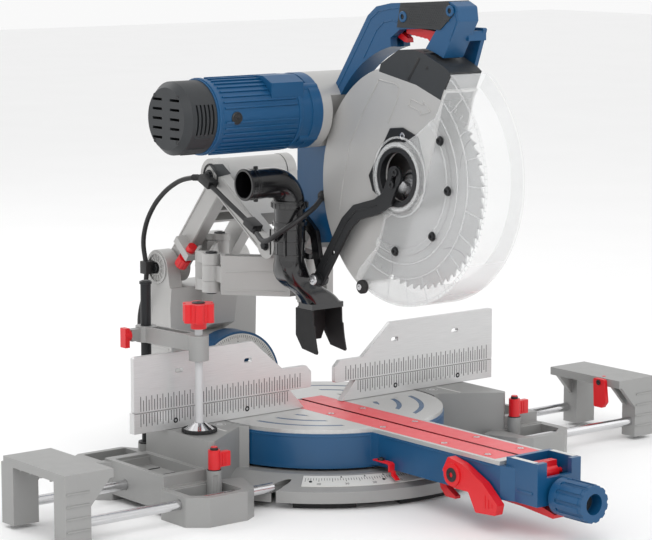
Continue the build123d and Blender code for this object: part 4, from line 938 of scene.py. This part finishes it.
def link_details():
    caps, foot = bmesh.new(), bmesh.new()
    for y, z in ((-232, 496), (-224.5, 477.5)):
        socket_screw(caps, (-49.3, y, z), (-1, 0, 0), 5.6, 3.0)
    piece("link_top_screws", "guard_link", "black_steel", caps, 0)
    lathe(foot, (-57.6, *LINK_FOOT), (-1, 0, 0), [(8.6, 0), (8.6, 2.4), (7.6, 3.6), (3.6, 3.6),
                                                 (3.6, 1.2)], 28, 3.6)
    piece("link_foot_screw", "guard_link", "steel", foot, 0)
    edge = bmesh.new()
    strip(edge, [(-188, 443), (-140, 430), (-118, 411), (-62, 334)], 2.2, -50.4, -49.3)
    piece("link_edge", "guard_link", "black_steel", edge, 0.3)


link_details()


def blade_details():
    tips, slots = bmesh.new(), bmesh.new()
    for i in range(60):
        turn = (Matrix.Translation(Vector((0, *BLADE_C)) * MM)
                @ Matrix.Rotation(2 * pi * i / 60, 4, "X"))
        box(tips, -1.6, 1.6, 145.8, 152.3, -0.2, 1.7, turn)
    piece("blade_tips", "blade", "carbide", tips, 0.12)
    # painted shade: dark strips fill the blade's slots in place of the shade seen in the narrow
    # cuts
    for k in range(5):
        path = [polar(BLADE_C, r, 72 * k + bend) for r, bend in ((146, 3), (136, 3.4), (124, 6),
                                                                (114, 10), (108, 16))]
        strip(slots, path, 1.3, -1.42, 1.42)
    piece("blade_slot_shade", "blade", "ink", slots, 0)
    # painted shade: a dark ring in the flange's groove
    flange = bmesh.new()
    ring_x(flange, BLADE_C, 19.5, 22.5, -8.7, -7.8)
    piece("flange_groove_shade", "blade", "black_steel", flange, 0.2)


blade_details()


# ---------------------------------------------------------------- motor and handle

def motor_details():
    ribs, screws, caps, vents = (bmesh.new() for _ in range(4))
    for i in range(-4, 5):
        turn = (Matrix.Translation(Vector((0, *MOTOR_C)) * MM)
                @ Matrix.Rotation(radians(38 + 9 * i), 4, "X"))
        box(ribs, -238, -104, -1.4, 1.4, 55.2, 58.2, turn)
        turn = (Matrix.Translation(Vector((0, *MOTOR_C)) * MM)
                @ Matrix.Rotation(radians(132 + 9 * i), 4, "X"))
        box(ribs, -238, -104, -1.4, 1.4, 55.2, 58.2, turn)
    for x in (-246, -98):
        ring_x(ribs, MOTOR_C, 55, 57.6, x - 3, x + 3)
    piece("motor_ribs", "head", "blue_plastic", ribs, 0.6)
    for i in range(4):
        y, z = polar(MOTOR_C, 50, 45 + 90 * i)
        socket_screw(screws, (-91.6, y, z), (-1, 0, 0), 5.0, 3.0)
    for y, z in ((-44, 574), (14, 574)):
        socket_screw(screws, (-305.2, y, z + 33), (-1, 0, 0), 3.6, 0.8)
        socket_screw(screws, (-305.2, y, z - 33), (-1, 0, 0), 3.6, 0.8)
    piece("motor_screws", "head", "black_steel", screws, 0)
    for side in (-1, 1):
        lathe(caps, (-218, MOTOR_C[0] + side * 55, MOTOR_C[1]), (0, side, 0),
              [(9.6, 0), (9.6, 2.0), (8.2, 3.2), (1.2, 3.2), (1.2, 1.8)], 28)
    piece("brush_caps", "head", "black_plastic", caps, 0)
    for k in range(6):
        a = 210 + 24 * k
        y, z = polar(MOTOR_C, 54.2, a)
        turn = (Matrix.Translation(Vector((0, *MOTOR_C)) * MM)
                @ Matrix.Rotation(radians(a - 90), 4, "X"))
        box(vents, -288, -262, -2.0, 2.0, 53.4, 55.4, turn)
    piece("end_cap_ribs", "head", "anthracite", vents, 0.5)


motor_details()


def handle_details():
    bosses, holes, beads = bmesh.new(), bmesh.new(), bmesh.new()
    for y, z in ((-214, 722), (-318, 734)):
        for side in (-1, 1):
            x = side * 20.3
            lathe(bosses, (x, y, z), (side, 0, 0), [(8.2, 0), (8.2, 1.2), (7.2, 2.0),
                                                    (4.0, 2.0), (4.0, 0.4)], 28)
            lathe(holes, (x, y, z), (side, 0, 0), [(3.9, 0.2), (3.9, 0.9), (2.0, 0.9),
                                                   (2.0, 0.5)], 24, 2.0)
    piece("handle_bosses", "head", "blue_plastic", bosses, 0)
    piece("handle_screws", "head", "black_steel", holes, 0)
    outline = [(-58, 606), (-138, 716), (-156, 728), (-186, 733), (-206, 735)]
    inner = [(-122, 658), (-152, 700), (-168, 712), (-188, 716), (-198, 714)]
    for side in (-1, 1):
        x = side * 19
        low, high = min(x - side * 0.3, x + side * 0.7), max(x - side * 0.3, x + side * 0.7)
        strip(beads, outline, 1.8, low, high)
        strip(beads, inner, 1.8, low, high)
    strip(beads, [(-322, 736), (-330, 720), (-316, 692)], 1.8, -19.7, -18.7)
    piece("handle_beads", "head", "blue_plastic", beads, 0.4)
    dots = bmesh.new()
    for row in range(9):
        for column in range(25):
            y = -216 - 4.1 * column - (2.05 if row % 2 else 0)
            z = 712 + 3.6 * row
            top = 738 + (-y - 212) * 0.07
            if z > top or (y > -228 and z < 734) or (y < -304 and z > 720):
                continue
            if y < -296 and z < 716:
                continue
            for side in (-1, 1):
                rod(dots, (side * 20.3, y, z), (side * 20.95, y, z), 1.35, 0.8, 6)
    piece("grip_dots", "head", "grip_rubber", dots, 0)
    notch = bmesh.new()
    for k in range(5):
        box(notch, -8.6, 8.6, -222 - 9 * k - 0.8, -222 - 9 * k + 0.8, 694.6 - 1.15 * k,
            695.9 - 1.15 * k)
    piece("trigger_ribs", "trigger", "red_plastic", notch, 0.3)


handle_details()


# ---------------------------------------------------------------- dust parts

def dust_details():
    bands, pegs, clip = bmesh.new(), bmesh.new(), bmesh.new()
    for x in (-160.5, -150, -145):
        ring_x(bands, (-12, 466), 23.3, 24.6 if x < -155 else 24.2, x - 1.4, x + 1.4)
    ring_z(bands, (-75, -12), 26.6, 28.0, 425.4, 434.8)
    for i in range(20):
        turn = (Matrix.Translation(Vector((-75, -12, 0)) * MM)
                @ Matrix.Rotation(2 * pi * i / 20, 4, "Z"))
        box(bands, -1.1, 1.1, 27.4, 29.0, 426, 434, turn)
    piece("elbow_bands", "dust_elbow", "black_gloss", bands, 0.3)
    for z, up in ((489, 1), (443, -1)):
        lathe(pegs, (-140, -12, z), (0, 0, up), [(3.6, -1), (3.6, 3.4), (2.8, 4.2)], 20)
    piece("elbow_pegs", "dust_elbow", "black_plastic", pegs, 0)
    sheet = bmesh.new()
    slab(sheet, [(-27, 262), (27, 262), (27, 224), (19, 205), (-19, 205), (-27, 224)], 1, 28.4,
         30.6)
    piece("chute_sheet", "head_bracket", "rubber", sheet, 0.5)
    for z in (352, 372, 390):
        ring_z(clip, (-75, -12), 23.6, 25.0, z, z + 2.4)
    for y in (-30, -12, 6):
        box(clip, -99.8, -97.6, y - 1.0, y + 1.0, 352, 392)
    piece("duct_ribs", "head_bracket", "black_gloss", clip, 0.4)


dust_details()


# ---------------------------------------------------------------- plug

bm = bmesh.new()
px, py = COIL_C[0] + 60, COIL_C[1] - 54
for k in range(5):
    box(bm, px + 6 + 5 * k, px + 8 + 5 * k, py - 14.4, py + 14.4, 2.6, 24.4)
piece("plug_ribs", "turntable", "black_plastic", bm, 0.4)


# ---------------------------------------------------------------- stage

floor_mesh = bmesh.new()
bmesh.ops.create_grid(floor_mesh, x_segments=1, y_segments=1, size=12)
mesh = bpy.data.meshes.new("floor")
floor_mesh.to_mesh(mesh)
floor_mesh.free()
floor = bpy.data.objects.new("floor", mesh)
bpy.context.collection.objects.link(floor)
pale = Net("floor_pale")
pale_place = pale.add("ShaderNodeTexCoord").outputs["Object"]
pale.feed(pale.shader, "Base Color",
          pale.mix(pale.noise(pale_place, 3.0), (0.90, 0.90, 0.90), (0.93, 0.93, 0.93)))
pale.shader.inputs["Roughness"].default_value = 0.75
mesh.materials.append(pale.material)

world = bpy.data.worlds.new("studio")
bpy.context.scene.world = world
world.use_nodes = True
world.node_tree.nodes["Background"].inputs["Color"].default_value = (1.0, 1.0, 1.0, 1)
world.node_tree.nodes["Background"].inputs["Strength"].default_value = 0.95
bpy.context.scene.view_settings.view_transform = "Standard"


def area_light(name, place, target, size, power):
    data = bpy.data.lights.new(name, "AREA")
    data.shape, data.size, data.energy = "SQUARE", size, power
    light = bpy.data.objects.new(name, data)
    bpy.context.collection.objects.link(light)
    light.location = place
    direction = Vector(target) - Vector(place)
    light.rotation_euler = direction.to_track_quat("-Z", "Y").to_euler()


area_light("key", (-1.6, -2.4, 2.8), (0, 0, 0.3), 1.8, 34)
area_light("fill", (2.6, -1.4, 1.6), (0, 0, 0.35), 2.2, 8)
area_light("rim", (-0.8, 2.6, 2.4), (0, 0, 0.4), 1.6, 22)
